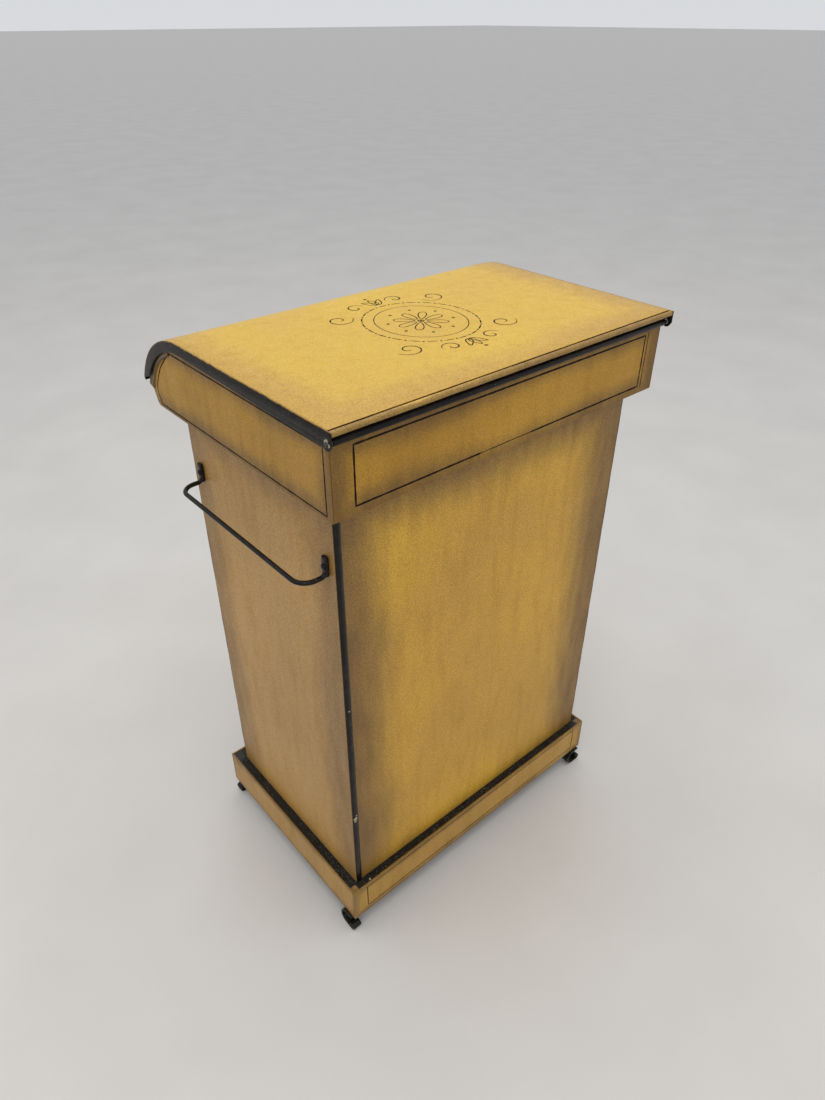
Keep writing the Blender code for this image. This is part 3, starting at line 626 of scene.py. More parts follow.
def select_where(piece, kind, test):
    """Select the verts, edges or faces of a piece whose middle passes a test."""
    bpy.ops.object.mode_set(mode="EDIT")
    bpy.ops.mesh.select_mode(type={"vertices": "VERT", "edges": "EDGE", "polygons": "FACE"}[kind])
    bpy.ops.mesh.select_all(action="DESELECT")
    bpy.ops.object.mode_set(mode="OBJECT")
    corners = piece.data.vertices
    for item in getattr(piece.data, kind):
        if kind == "vertices":
            middle = item.co
        else:
            middle = sum((corners[i].co for i in item.vertices), Vector()) / len(item.vertices)
        item.select = test(middle)
    bpy.ops.object.mode_set(mode="EDIT")


lid_width = lid_high.x - lid_low.x
flat_length = lid_high.y - ROLL_Y
bpy.ops.object.select_all(action="DESELECT")
bpy.ops.mesh.primitive_grid_add(
    x_subdivisions=28,
    y_subdivisions=16,
    size=1.0,
    location=(0.0, (lid_high.y + ROLL_Y) / 2, lid_high.z),
)
lid = bpy.context.active_object
lid.scale = (lid_width, flat_length, 1.0)
bpy.ops.object.transform_apply(location=True, rotation=True, scale=True)
select_where(lid, "edges", lambda middle: middle.y < ROLL_Y + 0.1 * MM)
bpy.ops.mesh.spin(
    steps=ROLL_STEPS, angle=-ROLL_TURN, center=(0.0, ROLL_Y, ROLL_Z), axis=(1.0, 0.0, 0.0)
)
bpy.ops.object.mode_set(mode="OBJECT")
front_of_lid = min(v.co.y for v in lid.data.vertices)
print("the roll reaches y", round(front_of_lid / MM, 1), "mm; the CAD sheet", round(lid_low.y / MM, 1))


def lid_sag(x, y):
    """How far the flat part of the lid lies below its edges at a point."""
    if y < ROLL_Y:
        return 0.0
    inside_x = 1 - (2 * abs(x) / lid_width) ** 4
    inside_y = 1 - (2 * abs(y - (lid_high.y + ROLL_Y) / 2) / flat_length) ** 4
    wave = math.sin(x * 21 + 0.6) * math.cos(y * 27 + 0.9)
    return LID_HOLLOW * inside_x * inside_y * (0.5 + 0.5 * wave)


for vertex in lid.data.vertices:
    vertex.co.z -= lid_sag(vertex.co.x, vertex.co.y)

only(lid)
bpy.ops.object.mode_set(mode="EDIT")
bpy.ops.mesh.select_all(action="SELECT")
bpy.ops.mesh.remove_doubles(threshold=0.01 * MM)
bpy.ops.mesh.normals_make_consistent(inside=False)
bpy.ops.object.mode_set(mode="OBJECT")
if sum(face.normal.z for face in lid.data.polygons) < 0:
    lid.data.flip_normals()
wall = lid.modifiers.new("iron", "SOLIDIFY")
wall.thickness = SHEET
wall.offset = -1.0
bevelled(lid, 0.3 * MM, 2)
smooth_shaded(lid)

# %% [markdown]
# ## Lid paint
#
# The top of the lid is the lightest part, a straw yellow that is rubbed paler in the middle and
# has a warm, slightly pink glaze towards its corners. Along the two ends the yellow was wiped off
# a rounded edge, where it turns brown before it meets the black flange.

# %% Lid paint
lid_box = (lid_low, lid_high)
lid_enamel = glazed_and_shaded_enamel(
    "glazed_enamel_lid", lid_box, FACING_Z, 60 * MM, "#D6AF2D", "#CBA238", "#B48A44",
    depth=0.5, seed=20.0, dotting=0.22,
)


def outer_edge_distance(tree, place):
    """How far a point lies inside the lid's outer contour, over the flat part and the roll."""
    split = add(tree, "ShaderNodeSeparateXYZ", {"Vector": place})
    forward = add(tree, "ShaderNodeMath", {0: ROLL_Y, 1: split.outputs[1]}, operation="SUBTRACT")
    in_roll = add(tree, "ShaderNodeMath", {0: forward.outputs[0], 1: 0.0}, operation="MAXIMUM")
    height = add(tree, "ShaderNodeMath", {0: split.outputs[2], 1: ROLL_Z}, operation="SUBTRACT")
    across = add(tree, "ShaderNodeCombineXYZ", {0: in_roll.outputs[0], 1: height.outputs[0]})
    reach = add(tree, "ShaderNodeVectorMath", {0: across.outputs[0]}, operation="LENGTH")
    return add(
        tree, "ShaderNodeMath", {0: ROLL_RADIUS, 1: reach.outputs["Value"]}, operation="SUBTRACT"
    ).outputs[0]


def worn_flange_paint():
    """Black paint, rubbed through to brown and yellow along the outer edge, chipped at the rod."""
    low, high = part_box("hinge_rod")
    middle = (low + high) / 2
    chips = (
        ((high.x, middle.y, middle.z + 2 * MM), 3.2 * MM),
        ((high.x, middle.y + 3 * MM, middle.z), 2.2 * MM),
    )
    material = black_paint("black_paint_flange", 0.38, 0.70, chips=chips)
    tree = material.node_tree
    shader = tree.nodes["Principled BSDF"]
    black = shader.inputs["Base Color"].links[0].from_socket
    place = add(tree, "ShaderNodeTexCoord").outputs["Object"]
    depth = outer_edge_distance(tree, place)
    rag = add(tree, "ShaderNodeTexNoise", {"Vector": place, "Scale": grain_of(7 * MM), "Detail": 5.0})
    ragged = add(
        tree,
        "ShaderNodeMath",
        {0: rag.outputs["Fac"], 1: 2.4 * MM, 2: depth},
        operation="MULTIPLY_ADD",
    )
    wear = add(
        tree,
        "ShaderNodeMapRange",
        {"Value": ragged.outputs[0], "From Min": 1.2 * MM, "From Max": 3.0 * MM},
    )
    worn = add(tree, "ShaderNodeValToRGB", {"Fac": wear.outputs[0]})
    stops = worn.color_ramp.elements
    stops[0].color = linear("#A98443")
    stops[1].color = linear("#241A10")
    middle = stops.new(0.45)
    middle.color = linear("#5F4623")
    pick = add(
        tree,
        "ShaderNodeMix",
        {"Factor": wear.outputs[0], 6: worn.outputs[0], 7: black},
        data_type="RGBA",
    )
    tree.links.new(pick.outputs[2], shader.inputs["Base Color"])
    return material


finish_piece(lid, "rolled_lid", "lid", lid_enamel, "yellow_paint", "lid_sheet")
flange_paint = worn_flange_paint()
for end in ENDS:
    node = f"lid_flange_{end}"
    flange = softened_copy(node, 0.35 * MM)
    finish_piece(flange, f"turned_down_{end}", "lid", flange_paint, "black_paint", node)

# %% [markdown]
# ## Rods and rolled edges
#
# The bead along the back of the lid, the hem at its lip, the tube of the hinge and the rod in it
# are all long and round. The bead, the hem and the rod each start as a cylinder, are cut into short
# lengths, and get small random dents, because an edge rolled by hand over a wire is never quite
# even. The tube is a rounded copy of its CAD solid.

# %% Rods
random.seed(7)
ROD_SIDES = 24
ROD_CUTS = 110
BEAD_RADIUS = 2.9 * MM
HEM_RADIUS = 1.6 * MM
HINGE_ROD_RADIUS = 2.0 * MM


def long_rod(node, radius, dent, sides=ROD_SIDES, cuts=ROD_CUTS):
    """A round bar where a CAD rod is, along X, with rounded ends and small dents."""
    low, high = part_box(node)
    centre = (low + high) / 2
    bpy.ops.object.select_all(action="DESELECT")
    bpy.ops.mesh.primitive_cylinder_add(
        vertices=sides, radius=radius, depth=high.x - low.x, location=centre, rotation=(0, math.pi / 2, 0)
    )
    rod = bpy.context.active_object
    bpy.ops.object.transform_apply(location=True, rotation=True, scale=True)
    bevelled(rod, radius * 0.25, 2, 60)
    limit = (high.x - low.x) / 2 - radius
    select_where(rod, "edges", lambda middle: abs(middle.x) < 0.1 * MM)
    bpy.ops.mesh.subdivide(number_cuts=cuts)
    bpy.ops.object.mode_set(mode="OBJECT")
    phases = [random.uniform(0, 2 * math.pi) for _ in range(4)]
    for vertex in rod.data.vertices:
        if abs(vertex.co.x) < limit:
            x = vertex.co.x
            wave = math.sin(x * 61 + phases[0]) + math.sin(x * 143 + phases[1])
            wave += 0.6 * math.sin(x * 331 + phases[2])
            inward = dent * (2.6 + wave) / 5.2
            from_axis = Vector((0.0, vertex.co.y - centre.y, vertex.co.z - centre.z))
            vertex.co -= from_axis * (inward / radius)
    smooth_shaded(rod, 50)
    return rod


bead_paint = glazed_and_shaded_enamel(
    "glazed_enamel_bead", lid_box, FACING_Z, 4 * MM, "#CDA446", "#A98040", "#5F4522", depth=0.5, seed=23.0
)
bead = long_rod("lid_bead", BEAD_RADIUS, 0.25 * MM)
finish_piece(bead, "rolled_bead", "lid", bead_paint, "yellow_paint", "lid_bead")
hem_paint = black_paint("black_paint_hem", 0.34, 0.72)
hem = long_rod("lid_hem", HEM_RADIUS, 0.12 * MM)
finish_piece(hem, "lip_hem", "lid", hem_paint, "black_paint", "lid_hem")
rod_paint = black_paint("black_paint_rod", 0.42, 0.60, "#221D18", "#6E5F47")
hinge_rod = long_rod("hinge_rod", HINGE_ROD_RADIUS, 0.05 * MM, 20, 20)
finish_piece(hinge_rod, "peened_rod", "lid", rod_paint, "black_iron", "hinge_rod")
tube_paint = black_paint("black_paint_tube", 0.36, 0.73, "#0D0A0A", "#211915")
tube = softened_copy("hinge_tube", 0.15 * MM)
finish_piece(tube, "rolled_tube", "bin", tube_paint, "black_paint", "hinge_tube")

# %% [markdown]
# ## Corner strips
#
# A strip of half-round iron covers each upright seam, painted in glossy black. A grid is bent to
# its crowned section, waved a little sideways as the brush and the hammer left it, and solidified.

# %% Corner strips
STRIP_CHIPS = (
    ((0.1975, 0.1400, 0.1970), 2.4 * MM),
    ((0.1985, 0.1400, 0.1930), 1.6 * MM),
    ((0.1965, 0.1400, 0.2015), 1.2 * MM),
    ((0.1975, 0.1400, 0.3690), 1.0 * MM),
)
strip_paint = black_paint("black_paint_strips", 0.24, 0.735, "#0C0A08", "#241D15", STRIP_CHIPS)
STRIP_ACROSS = 8
STRIP_ALONG = 120
STRIP_EDGE = 0.6 * MM
STRIP_WIDTH = 8 * MM
STRIP_RISE = 1.8 * MM
FIRST_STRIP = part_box("corner_strip_back_right")
strip_length = FIRST_STRIP[1].z - FIRST_STRIP[0].z


def seam_strip(phase):
    """A strip at the origin with its crown towards +Y, waved along its length."""
    bpy.ops.object.select_all(action="DESELECT")
    bpy.ops.mesh.primitive_grid_add(
        x_subdivisions=STRIP_ACROSS,
        y_subdivisions=STRIP_ALONG,
        size=1.0,
        rotation=(-math.pi / 2, 0.0, 0.0),
    )
    strip = bpy.context.active_object
    strip.scale = (STRIP_WIDTH, strip_length, 1.0)
    bpy.ops.object.transform_apply(location=True, rotation=True, scale=True)
    for vertex in strip.data.vertices:
        side = 2 * vertex.co.x / STRIP_WIDTH
        wave = 0.5 + 0.5 * math.sin(vertex.co.z * 47 + phase) * math.sin(vertex.co.z * 109)
        crown = (STRIP_RISE - STRIP_EDGE) * (1 - side * side) * (1 - 0.18 * wave)
        vertex.co.y = STRIP_EDGE + crown
        vertex.co.x *= 0.93 + 0.07 * wave
    if strip.data.polygons[0].normal.y < 0:
        strip.data.flip_normals()
    wall = strip.modifiers.new("iron", "SOLIDIFY")
    wall.thickness = STRIP_EDGE
    wall.offset = -1.0
    bevelled(strip, 0.15 * MM, 2, 50)
    smooth_shaded(strip, 50)
    return strip


for corner, turn in (("back_right", 0.0), ("front_right", 180.0), ("back_left", 90.0), ("front_left", 180.0)):
    node = f"corner_strip_{corner}"
    low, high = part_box(node)
    middle = (low + high) / 2
    facing = Matrix.Rotation(math.radians(turn), 4, "Z")
    strip = seam_strip(random.uniform(0, 2 * math.pi))
    strip.data.transform(Matrix.Translation(middle) @ facing @ Matrix.Translation((0, -STRIP_RISE / 2, 0)))
    finish_piece(strip, f"seam_strip_{corner}", "bin", strip_paint, "black_paint", node)

# %% [markdown]
# ## Plinth
#
# The rails keep their CAD shape with softened edges. The ledges between the rails and the body are
# black and gritty, from dirt that settled in the paint. In each corner the ends of the rails are
# folded over in a small yellow square, rubbed brown.

# %% Plinth
plinth_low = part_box("plinth_rail_front")[0]
plinth_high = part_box("plinth_rail_back")[1]
plinth_box = (plinth_low, plinth_high)
rail_back_enamel = glazed_and_shaded_enamel(
    "glazed_enamel_rail_back", plinth_box, FACING_Y, 14 * MM, "#C29334", "#B0852F", "#7D5C1F", seed=31.0
)
rail_end_enamel = glazed_and_shaded_enamel(
    "glazed_enamel_rail_ends", plinth_box, FACING_X, 14 * MM, "#BC8E40", "#AA813A", "#7D5C28", seed=33.0
)
corner_enamel = glazed_and_shaded_enamel(
    "glazed_enamel_corners", plinth_box, FACING_Z, 16 * MM, "#A88048", "#8F6C3C", "#5F4526", seed=35.0
)
CORNER_FOLD = 10 * MM
CORNER_RAG = 3 * MM


def fold_beside_ledges():
    """The enamel of a folded corner, which gives way to the black of the ledges further in."""
    tree = corner_enamel.node_tree
    shader = tree.nodes["Principled BSDF"]
    yellow = shader.inputs["Base Color"].links[0].from_socket
    place = add(tree, "ShaderNodeTexCoord").outputs["Object"]
    size = add(tree, "ShaderNodeVectorMath", {0: place}, operation="ABSOLUTE")
    inset = add(
        tree, "ShaderNodeVectorMath", {0: tuple(plinth_high), 1: size.outputs[0]}, operation="SUBTRACT"
    )
    split = add(tree, "ShaderNodeSeparateXYZ", {"Vector": inset.outputs[0]})
    deepest = add(
        tree, "ShaderNodeMath", {0: split.outputs[0], 1: split.outputs[1]}, operation="MAXIMUM"
    )
    rag = add(tree, "ShaderNodeTexNoise", {"Vector": place, "Scale": grain_of(4 * MM), "Detail": 4.0})
    ragged = add(
        tree,
        "ShaderNodeMath",
        {0: rag.outputs["Fac"], 1: CORNER_RAG, 2: deepest.outputs[0]},
        operation="MULTIPLY_ADD",
    )
    limit = CORNER_FOLD + CORNER_RAG / 2
    past = add(tree, "ShaderNodeMath", {0: ragged.outputs[0], 1: limit}, operation="GREATER_THAN")
    both = add(
        tree,
        "ShaderNodeMix",
        {"Factor": past.outputs[0], 6: yellow, 7: linear("#0C0B08")},
        data_type="RGBA",
    )
    tree.links.new(both.outputs[2], shader.inputs["Base Color"])
    return corner_enamel


corner_paint = fold_beside_ledges()
SCRATCHES = (
    ((0.1866, 0.1455, 0.0764), 1.5 * MM),
    ((0.1995, 0.1492, 0.0770), 1.7 * MM),
)
ledge_paint = black_paint("black_paint_ledges", 0.5, 0.655, "#0C0B08", "#1E1A14", SCRATCHES)
plate_paint = black_paint("black_paint_plates", 0.5, 0.66, "#17130E", "#352B1E")
for side in ("front", "back"):
    paint(f"plinth_rail_{side}", rail_back_enamel)
    soften(f"plinth_rail_{side}", 0.4 * MM)
for side in ENDS:
    paint(f"plinth_rail_{side}", rail_end_enamel)
    soften(f"plinth_rail_{side}", 0.3 * MM)
for side in ("front", "back", "left", "right"):
    paint(f"plinth_ledge_{side}", ledge_paint)
    soften(f"plinth_ledge_{side}", 0.2 * MM)
for corner in CORNERS:
    paint(f"plinth_corner_{corner}", corner_paint)
    soften(f"plinth_corner_{corner}", 0.2 * MM)
    paint(f"foot_plate_{corner}", plate_paint)
    soften(f"foot_plate_{corner}", 0.3 * MM)

# %% [markdown]
# ## Handles
#
# Each handle is one iron wire. Its ends are hammered flat and riveted to the body. The wire is a
# curve with a round bevel, and each flattened end is a cube, shaped and rounded by a bevel. A
# voxel remesh then flows the three together as forging does, and a little smoothing follows.

# %% Handles
iron_paint = black_paint("black_iron_paint", 0.3, 0.70, "#0C0A08", "#211C15")
WIRE = 2.5 * MM
TAB_THICKNESS = 4 * MM
TAB_WIDTH = 8 * MM
TAB_HEIGHT = 22 * MM
HANDLE_HEEL = 6 * MM
HANDLE_BEND = 16 * MM
TURN_STEPS = 12
ARM_Z = 535 * MM
VOXEL = 0.5 * MM


def quarter(steps):
    return [math.pi / 2 * i / steps for i in range(steps + 1)]


def handle_points(side, front, back, wall, grip):
    """The line of the wire, from inside one tab to inside the other."""
    half = []
    half.append((wall, front, ARM_Z + HANDLE_HEEL + 1 * MM, 0.6))
    for count, angle in enumerate(quarter(TURN_STEPS)):
        x = wall + side * HANDLE_HEEL * (1 - math.cos(angle))
        radius = min(1.0, 0.6 + 0.4 * count / 5)
        half.append((x, front, ARM_Z + HANDLE_HEEL * (1 - math.sin(angle)), radius))
    for angle in quarter(TURN_STEPS):
        x = grip - side * HANDLE_BEND * (1 - math.sin(angle))
        half.append((x, front + HANDLE_BEND * (1 - math.cos(angle)), ARM_Z, 1.0))
    rest = [(x, front + back - y, z, radius) for x, y, z, radius in half[::-1]]
    return half + rest


def wire_along(points, radius):
    """A round wire along points with relative radii, as a mesh."""
    curve = bpy.data.curves.new("wire", "CURVE")
    curve.dimensions = "3D"
    curve.bevel_depth = radius
    curve.bevel_resolution = 4
    curve.use_fill_caps = True
    spline = curve.splines.new("POLY")
    spline.points.add(len(points) - 1)
    for knot, (x, y, z, share) in zip(spline.points, points):
        knot.co = (x, y, z, 1.0)
        knot.radius = share
    wire = bpy.data.objects.new("wire", curve)
    bpy.context.scene.collection.objects.link(wire)
    only(wire)
    bpy.ops.object.convert(target="MESH")
    return bpy.context.active_object


for end in ENDS:
    side = 1 if end == "right" else -1
    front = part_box(f"handle_rivet_{end}_front")
    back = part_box(f"handle_rivet_{end}_back")
    front_middle = (front[0] + front[1]) / 2
    back_middle = (back[0] + back[1]) / 2
    handle_low, handle_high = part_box(f"handle_{end}")
    near_wall = handle_low.x if side > 0 else handle_high.x
    wall = near_wall + side * TAB_THICKNESS / 2
    grip = (handle_high.x if side > 0 else handle_low.x) - side * WIRE
    wire = wire_along(handle_points(side, front_middle.y, back_middle.y, wall, grip), WIRE)
    parts = [wire]
    for middle in (front_middle, back_middle):
        bpy.ops.object.select_all(action="DESELECT")
        bpy.ops.mesh.primitive_cube_add(size=1.0, location=(wall, middle.y, middle.z))
        tab = bpy.context.active_object
        tab.scale = (TAB_THICKNESS, TAB_WIDTH, TAB_HEIGHT)
        bpy.ops.object.transform_apply(location=True, rotation=True, scale=True)
        bevelled(tab, 1.7 * MM, 4, 60)
        parts.append(tab)
    bpy.ops.object.select_all(action="DESELECT")
    for part in parts:
        part.select_set(True)
    bpy.context.view_layer.objects.active = wire
    bpy.ops.object.join()
    handle = bpy.context.active_object
    weld = handle.modifiers.new("forge", "REMESH")
    weld.mode = "VOXEL"
    weld.voxel_size = VOXEL
    ease = handle.modifiers.new("ease", "SMOOTH")
    ease.factor = 0.5
    ease.iterations = 3
    apply_modifiers(handle)
    smooth_shaded(handle, 60)
    finish_piece(handle, f"wire_handle_{end}", "bin", iron_paint, "black_iron", f"handle_{end}")
    for place_name in ("front", "back"):
        rivet = f"handle_rivet_{end}_{place_name}"
        dome = softened_copy(rivet, 0.2 * MM, 2, 50)
        finish_piece(dome, f"domed_{rivet}", "bin", iron_paint, "black_iron", rivet)

# %% [markdown]
# ## Feet
#
# Each foot is a short iron strap, rolled into a curl with its toe turned up. Each is a copy of its
# own CAD strap with rounded edges, in its own place round the plinth, with a domed copy of its rivet.

# %% Feet
foot_paint = black_paint("black_iron_foot", 0.34, 0.70, "#0C0D0A", "#202119")
for corner in CORNERS:
    node = f"foot_{corner}"
    foot = softened_copy(node, 0.7 * MM, 3, 50)
    finish_piece(foot, f"curled_{node}", "bin", foot_paint, "black_iron", node)
    rivet = f"foot_rivet_{corner}"
    dome = softened_copy(rivet, 0.15 * MM, 2, 50)
    finish_piece(dome, f"domed_{rivet}", "bin", foot_paint, "black_iron", rivet)

# %% [markdown]
# ## Hand-painted lines
#
# Thin dark lines frame the panels. A line of paint stands up very slightly, so each is a curve
# with a round bevel, turned to mesh and pressed almost flat against its panel. Its width wavers,
# as a brush leaves it. Every line is a shape of its own and stays crisp.

# %% Painted lines
line_material, line_tree, line_shader = new_material("lining_paint", 0.65, Specular_IOR_Level=0.12)
line_place = add(line_tree, "ShaderNodeTexCoord").outputs["Object"]
line_noise = add(
    line_tree, "ShaderNodeTexNoise", {"Vector": line_place, "Scale": grain_of(6 * MM), "Detail": 4.0}
)
line_ramp = add(
    line_tree, "ShaderNodeMapRange", {"Value": line_noise.outputs["Fac"], "From Min": 0.4, "From Max": 0.75}
)
line_mix = add(
    line_tree,
    "ShaderNodeMix",
    {"Factor": line_ramp.outputs[0], 6: linear("#120A05"), 7: linear("#2B1B0C")},
    data_type="RGBA",
)
line_tree.links.new(line_mix.outputs[2], line_shader.inputs["Base Color"])

LINE_WIDTH = 1.9 * MM
BACK_LINE_WIDTH = 2.3 * MM
PAINT_RISE = 0.10 * MM
LINE_STEP = 4 * MM


def resampled(points, closed, step):
    """Even points along a line through the given ones."""
    ring = list(points) + ([points[0]] if closed else [])
    out = []
    for start, end in zip(ring, ring[1:]):
        length = (end - start).length
        count = max(1, round(length / step))
        out += [start.lerp(end, i / count) for i in range(count)]
    if not closed:
        out.append(ring[-1])
    return out


def painted(name, strokes, axis, surface, width, body, sag=None):
    """Strokes, each a line of points with its closing and widths, pressed flat on a panel."""
    curve = bpy.data.curves.new(name, "CURVE")
    curve.dimensions = "3D"
    curve.bevel_depth = width / 2
    curve.bevel_resolution = 1
    curve.use_fill_caps = True
    for points, closed, shares in strokes:
        spline = curve.splines.new("POLY")
        spline.points.add(len(points) - 1)
        spline.use_cyclic_u = closed
        for knot, point, share in zip(spline.points, points, shares):
            knot.co = (*point, 1.0)
            knot.radius = share * random.uniform(0.82, 1.12)
    lines = bpy.data.objects.new(name, curve)
    bpy.context.scene.collection.objects.link(lines)
    only(lines)
    bpy.ops.object.convert(target="MESH")
    lines = bpy.context.active_object
    bpy.ops.object.mode_set(mode="EDIT")
    bpy.ops.mesh.select_all(action="SELECT")
    press = [1.0, 1.0, 1.0]
    press[axis] = PAINT_RISE / (width / 2)
    middle = [0.0, 0.0, 0.0]
    middle[axis] = surface
    bpy.ops.transform.resize(value=press, center_override=middle)
    bpy.ops.object.mode_set(mode="OBJECT")
    if sag:
        for vertex in lines.data.vertices:
            vertex.co.z -= sag(vertex.co.x, vertex.co.y)
    smooth_shaded(lines, 60)
    return finish_piece(lines, name, body, line_material, "black_paint")


def lining(points, closed=False, share=1.0):
    line = resampled([Vector(p) for p in points], closed, LINE_STEP)
    return (line, closed, [share] * len(line))


panel_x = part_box("hood_end_right")[1].x
back_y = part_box("hood_back")[1].y
# The line's curve at the front of the hood's end, as (Y, Z) in millimetres.
front_curve = [
    (-102.97, 679.5), (-115.0, 671.2), (-130.07, 657.8), (-139.5, 645.5), (-145.57, 634.9),
    (-147.2, 628.0), (-146.27, 623.6), (-141.97, 614.6),
]
END_BOTTOM = 614.6
END_BACK = 152.2
END_TOP = 681.5
outline = [(y * MM, z * MM) for y, z in front_curve]
outline += [(END_BACK * MM, END_BOTTOM * MM), (END_BACK * MM, (END_TOP - 3.5) * MM)]
for side, end in ((1, "right"), (-1, "left")):
    x = side * panel_x
    painted(
        f"lining_hood_end_{end}",
        [lining([(x, y, z) for y, z in outline], True)],
        0, x, LINE_WIDTH, "bin",
    )

back_low_x = -190 * MM
back_high_x = 191.5 * MM
back_low_z = 619 * MM
back_high_z = 675 * MM
frame_line = [
    (-20 * MM, back_y, back_low_z), (back_low_x, back_y, back_low_z), (back_low_x, back_y, back_high_z),
    (back_high_x, back_y, back_high_z), (back_high_x, back_y, back_low_z), (48 * MM, back_y, back_low_z),
]
faded = [(48 * MM, back_y, back_low_z), (-20 * MM, back_y, back_low_z)]
second = [(-195 * MM, back_y, 617 * MM), (-195 * MM, back_y, 678 * MM)]
painted(
    "lining_hood_back",
    [lining(frame_line), lining(faded, share=0.45), lining(second, share=0.6)],
    1, back_y, BACK_LINE_WIDTH, "bin",
)

rail_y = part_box("plinth_rail_back")[1].y
rail_low = 34.5 * MM
rail_high = 72 * MM
painted(
    "lining_plinth_back",
    [
        lining([(194 * MM, rail_y, rail_high), (194 * MM, rail_y, rail_low), (-194 * MM, rail_y, rail_low),
                (-194 * MM, rail_y, rail_high), (194 * MM, rail_y, rail_high)], share=0.7),
    ],
    1, rail_y, LINE_WIDTH, "bin",
)

# %% [markdown]
# ## Ornament
#
# The lid carries a motif drawn in fine lines. This one is a plain ornament built from turned
# figures: a beaded oval, a rosette of petals and four pairs of scrolls, with a leaf spray at each
# end. All of it is worked out from ellipses and spirals.

# %% Ornament
ORNAMENT_CENTRE = Vector((0.0, 22 * MM, 0.0))
ORNAMENT_LINE = 1.7 * MM
OVAL_X = 58 * MM
OVAL_Y = 62 * MM
top_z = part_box("lid_sheet")[1].z


def tapered(count, thin=0.45):
    """Relative widths along a stroke, thin at both ends as a brush leaves them."""
    return [thin + (1 - thin) * math.sin(math.pi * i / (count - 1)) for i in range(count)]


def on_lid(u, v):
    return Vector((ORNAMENT_CENTRE.x + u, ORNAMENT_CENTRE.y + v, top_z))


def ellipse(half_u, half_v, start, end, count):
    turns = [start + (end - start) * i / (count - 1) for i in range(count)]
    return [on_lid(half_u * math.cos(a), half_v * math.sin(a)) for a in turns]


def spiral(u, v, size, start, turns, hand, count=34):
    """A scroll that winds in to a point."""
    points = []
    for i in range(count):
        share = i / (count - 1)
        angle = start + hand * 2 * math.pi * turns * share
        radius = size * (1 - 0.86 * share)
        points.append(on_lid(u + radius * math.cos(angle), v + radius * math.sin(angle)))
    return points


def dot(u, v, size):
    count = 8
    turns = [2 * math.pi * i / count for i in range(count)]
    return ([on_lid(u + size * math.cos(a), v + size * math.sin(a)) for a in turns], True, [0.9] * count)


strokes = []
BEADS = 22
for bead in range(BEADS):
    start = 2 * math.pi * bead / BEADS
    strokes.append(dot(OVAL_X * math.cos(start), OVAL_Y * math.sin(start), 0.55 * MM))
    arc_points = ellipse(OVAL_X, OVAL_Y, start + 0.05, start + 2 * math.pi / BEADS - 0.05, 8)
    strokes.append((arc_points, False, tapered(8)))
inner = ellipse(46 * MM, 50 * MM, 0.0, 2 * math.pi, 72)[:-1]
strokes.append((inner, True, [0.6] * len(inner)))
PETALS = 8
for petal in range(PETALS):
    aim = 2 * math.pi * petal / PETALS
    count = 20
    loop = []
    for i in range(count):
        t = 2 * math.pi * i / count
        along = 17 * MM + 11 * MM * math.cos(t)
        across = 5.5 * MM * math.sin(t) * (0.75 + 0.25 * math.cos(t))
        u = along * math.cos(aim) - across * math.sin(aim)
        v = along * math.sin(aim) + across * math.cos(aim)
        loop.append(on_lid(u, v))
    strokes.append((loop, True, [0.75] * count))
    half = aim + math.pi / PETALS
    strokes.append(dot(34 * MM * math.cos(half), 36 * MM * math.sin(half), 1.1 * MM))
strokes.append(dot(0.0, 0.0, 3.2 * MM))
strokes.append(dot(0.0, 0.0, 1.0 * MM))
for sign_u in (-1, 1):
    for sign_v in (-1, 1):
        hand = sign_u * sign_v
        start = math.pi / 2 * (1 - sign_v * 0.9) if sign_u > 0 else math.pi / 2 * (1 + sign_v * 0.9)
        outer = spiral(sign_u * 62 * MM, sign_v * 54 * MM, 15 * MM, start, 1.25, hand)
        inner_scroll = spiral(sign_u * 26 * MM, sign_v * 74 * MM, 11 * MM, -start, 1.1, -hand)
        strokes.append((outer, False, tapered(34)))
        strokes.append((inner_scroll, False, tapered(34)))
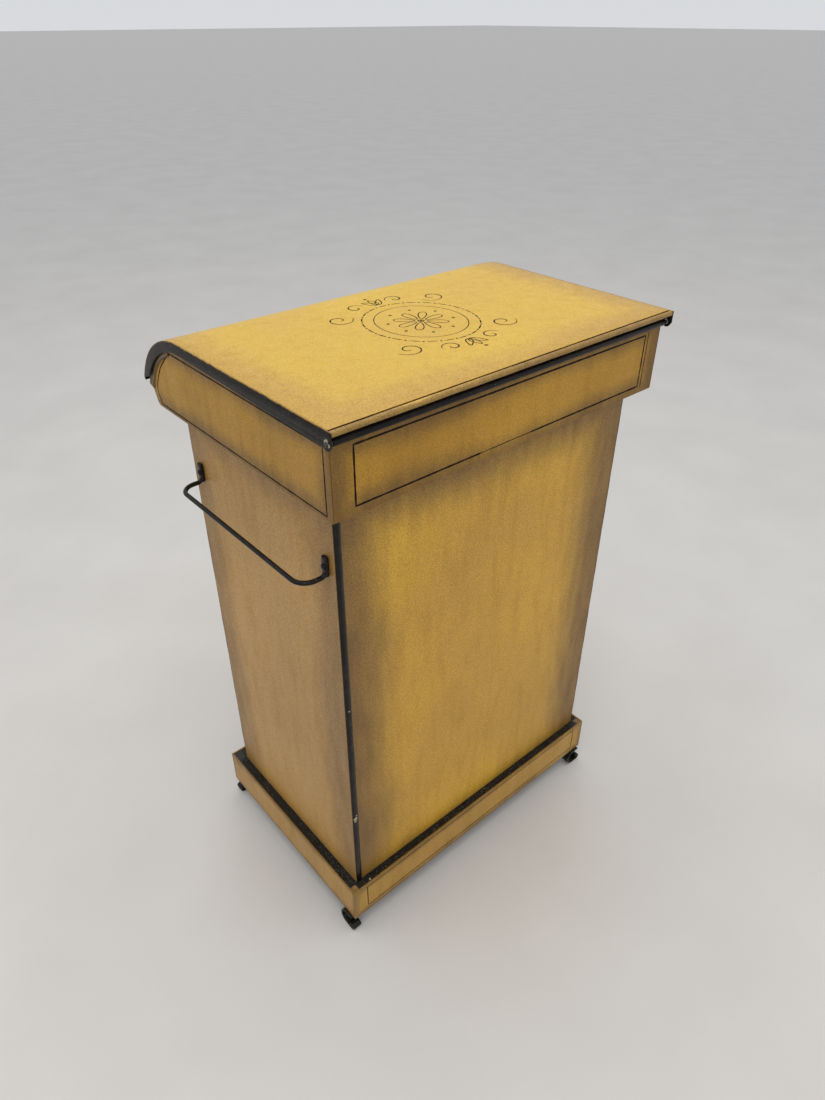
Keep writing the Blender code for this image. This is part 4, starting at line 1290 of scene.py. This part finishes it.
for sign_v in (-1, 1):
    for lean in (-0.62, 0.0, 0.62):
        count = 18
        leaf = []
        for i in range(count):
            t = 2 * math.pi * i / count
            along = 10 * MM + 9 * MM * math.cos(t)
            across = 3.2 * MM * math.sin(t) * (1.0 - 0.45 * math.cos(t))
            u = along * math.sin(lean) + across * math.cos(lean)
            v = along * math.cos(lean) - across * math.sin(lean)
            leaf.append(on_lid(u, sign_v * (68 * MM + v)))
        strokes.append((leaf, True, [0.8] * count))
    strokes.append(dot(0.0, sign_v * 92 * MM, 1.3 * MM))
painted("lid_ornament", strokes, 2, top_z, ORNAMENT_LINE, "lid", lid_sag)

# %% [markdown]
# ## Floor and light
#
# A pale, plain concrete floor, a broad soft light overhead as in a workshop with white ceilings,
# and a weaker one from the camera's side.

# %% Floor and light
bpy.ops.object.select_all(action="DESELECT")
FLOOR_SIZE = 120.0
bpy.ops.mesh.primitive_plane_add(size=FLOOR_SIZE, location=(0.0, 0.0, 0.0))
ground = bpy.context.active_object
ground.name = "floor"
floor_material, floor_tree, floor_shader = new_material("pale_concrete", 0.55)
floor_place = add(floor_tree, "ShaderNodeTexCoord").outputs["Object"]
floor_cloud = add(
    floor_tree, "ShaderNodeTexNoise", {"Vector": floor_place, "Scale": grain_of(0.22), "Detail": 6.0}
)
floor_mix = add(
    floor_tree,
    "ShaderNodeMix",
    {"Factor": floor_cloud.outputs["Fac"], 6: linear("#C2BFBB"), 7: linear("#D3D1CD")},
    data_type="RGBA",
)
floor_tree.links.new(floor_mix.outputs[2], floor_shader.inputs["Base Color"])
ground.data.materials.append(floor_material)

world = bpy.data.worlds.new("studio")
bpy.context.scene.world = world
world.use_nodes = True
world.node_tree.nodes["Background"].inputs["Color"].default_value = linear("#E8EAEE")
world.node_tree.nodes["Background"].inputs["Strength"].default_value = 0.85


def area_light(name, place, aim, size, power, code="#FFFFFF"):
    light = bpy.data.lights.new(name, "AREA")
    light.size = size
    light.energy = power
    light.color = linear(code)[:3]
    lamp = bpy.data.objects.new(name, light)
    bpy.context.scene.collection.objects.link(lamp)
    lamp.location = place
    lamp.rotation_euler = (Vector(aim) - Vector(place)).to_track_quat("-Z", "Y").to_euler()
    return lamp


area_light("ceiling", (0.1, 0.0, 2.6), (0.0, 0.0, 0.4), 2.6, 34, "#FFFCF6")
area_light("camera_side", (1.6, 1.9, 1.5), (0.0, 0.0, 0.35), 1.8, 9)
bpy.context.scene.view_settings.view_transform = "Standard"
print("floor and lights ready")
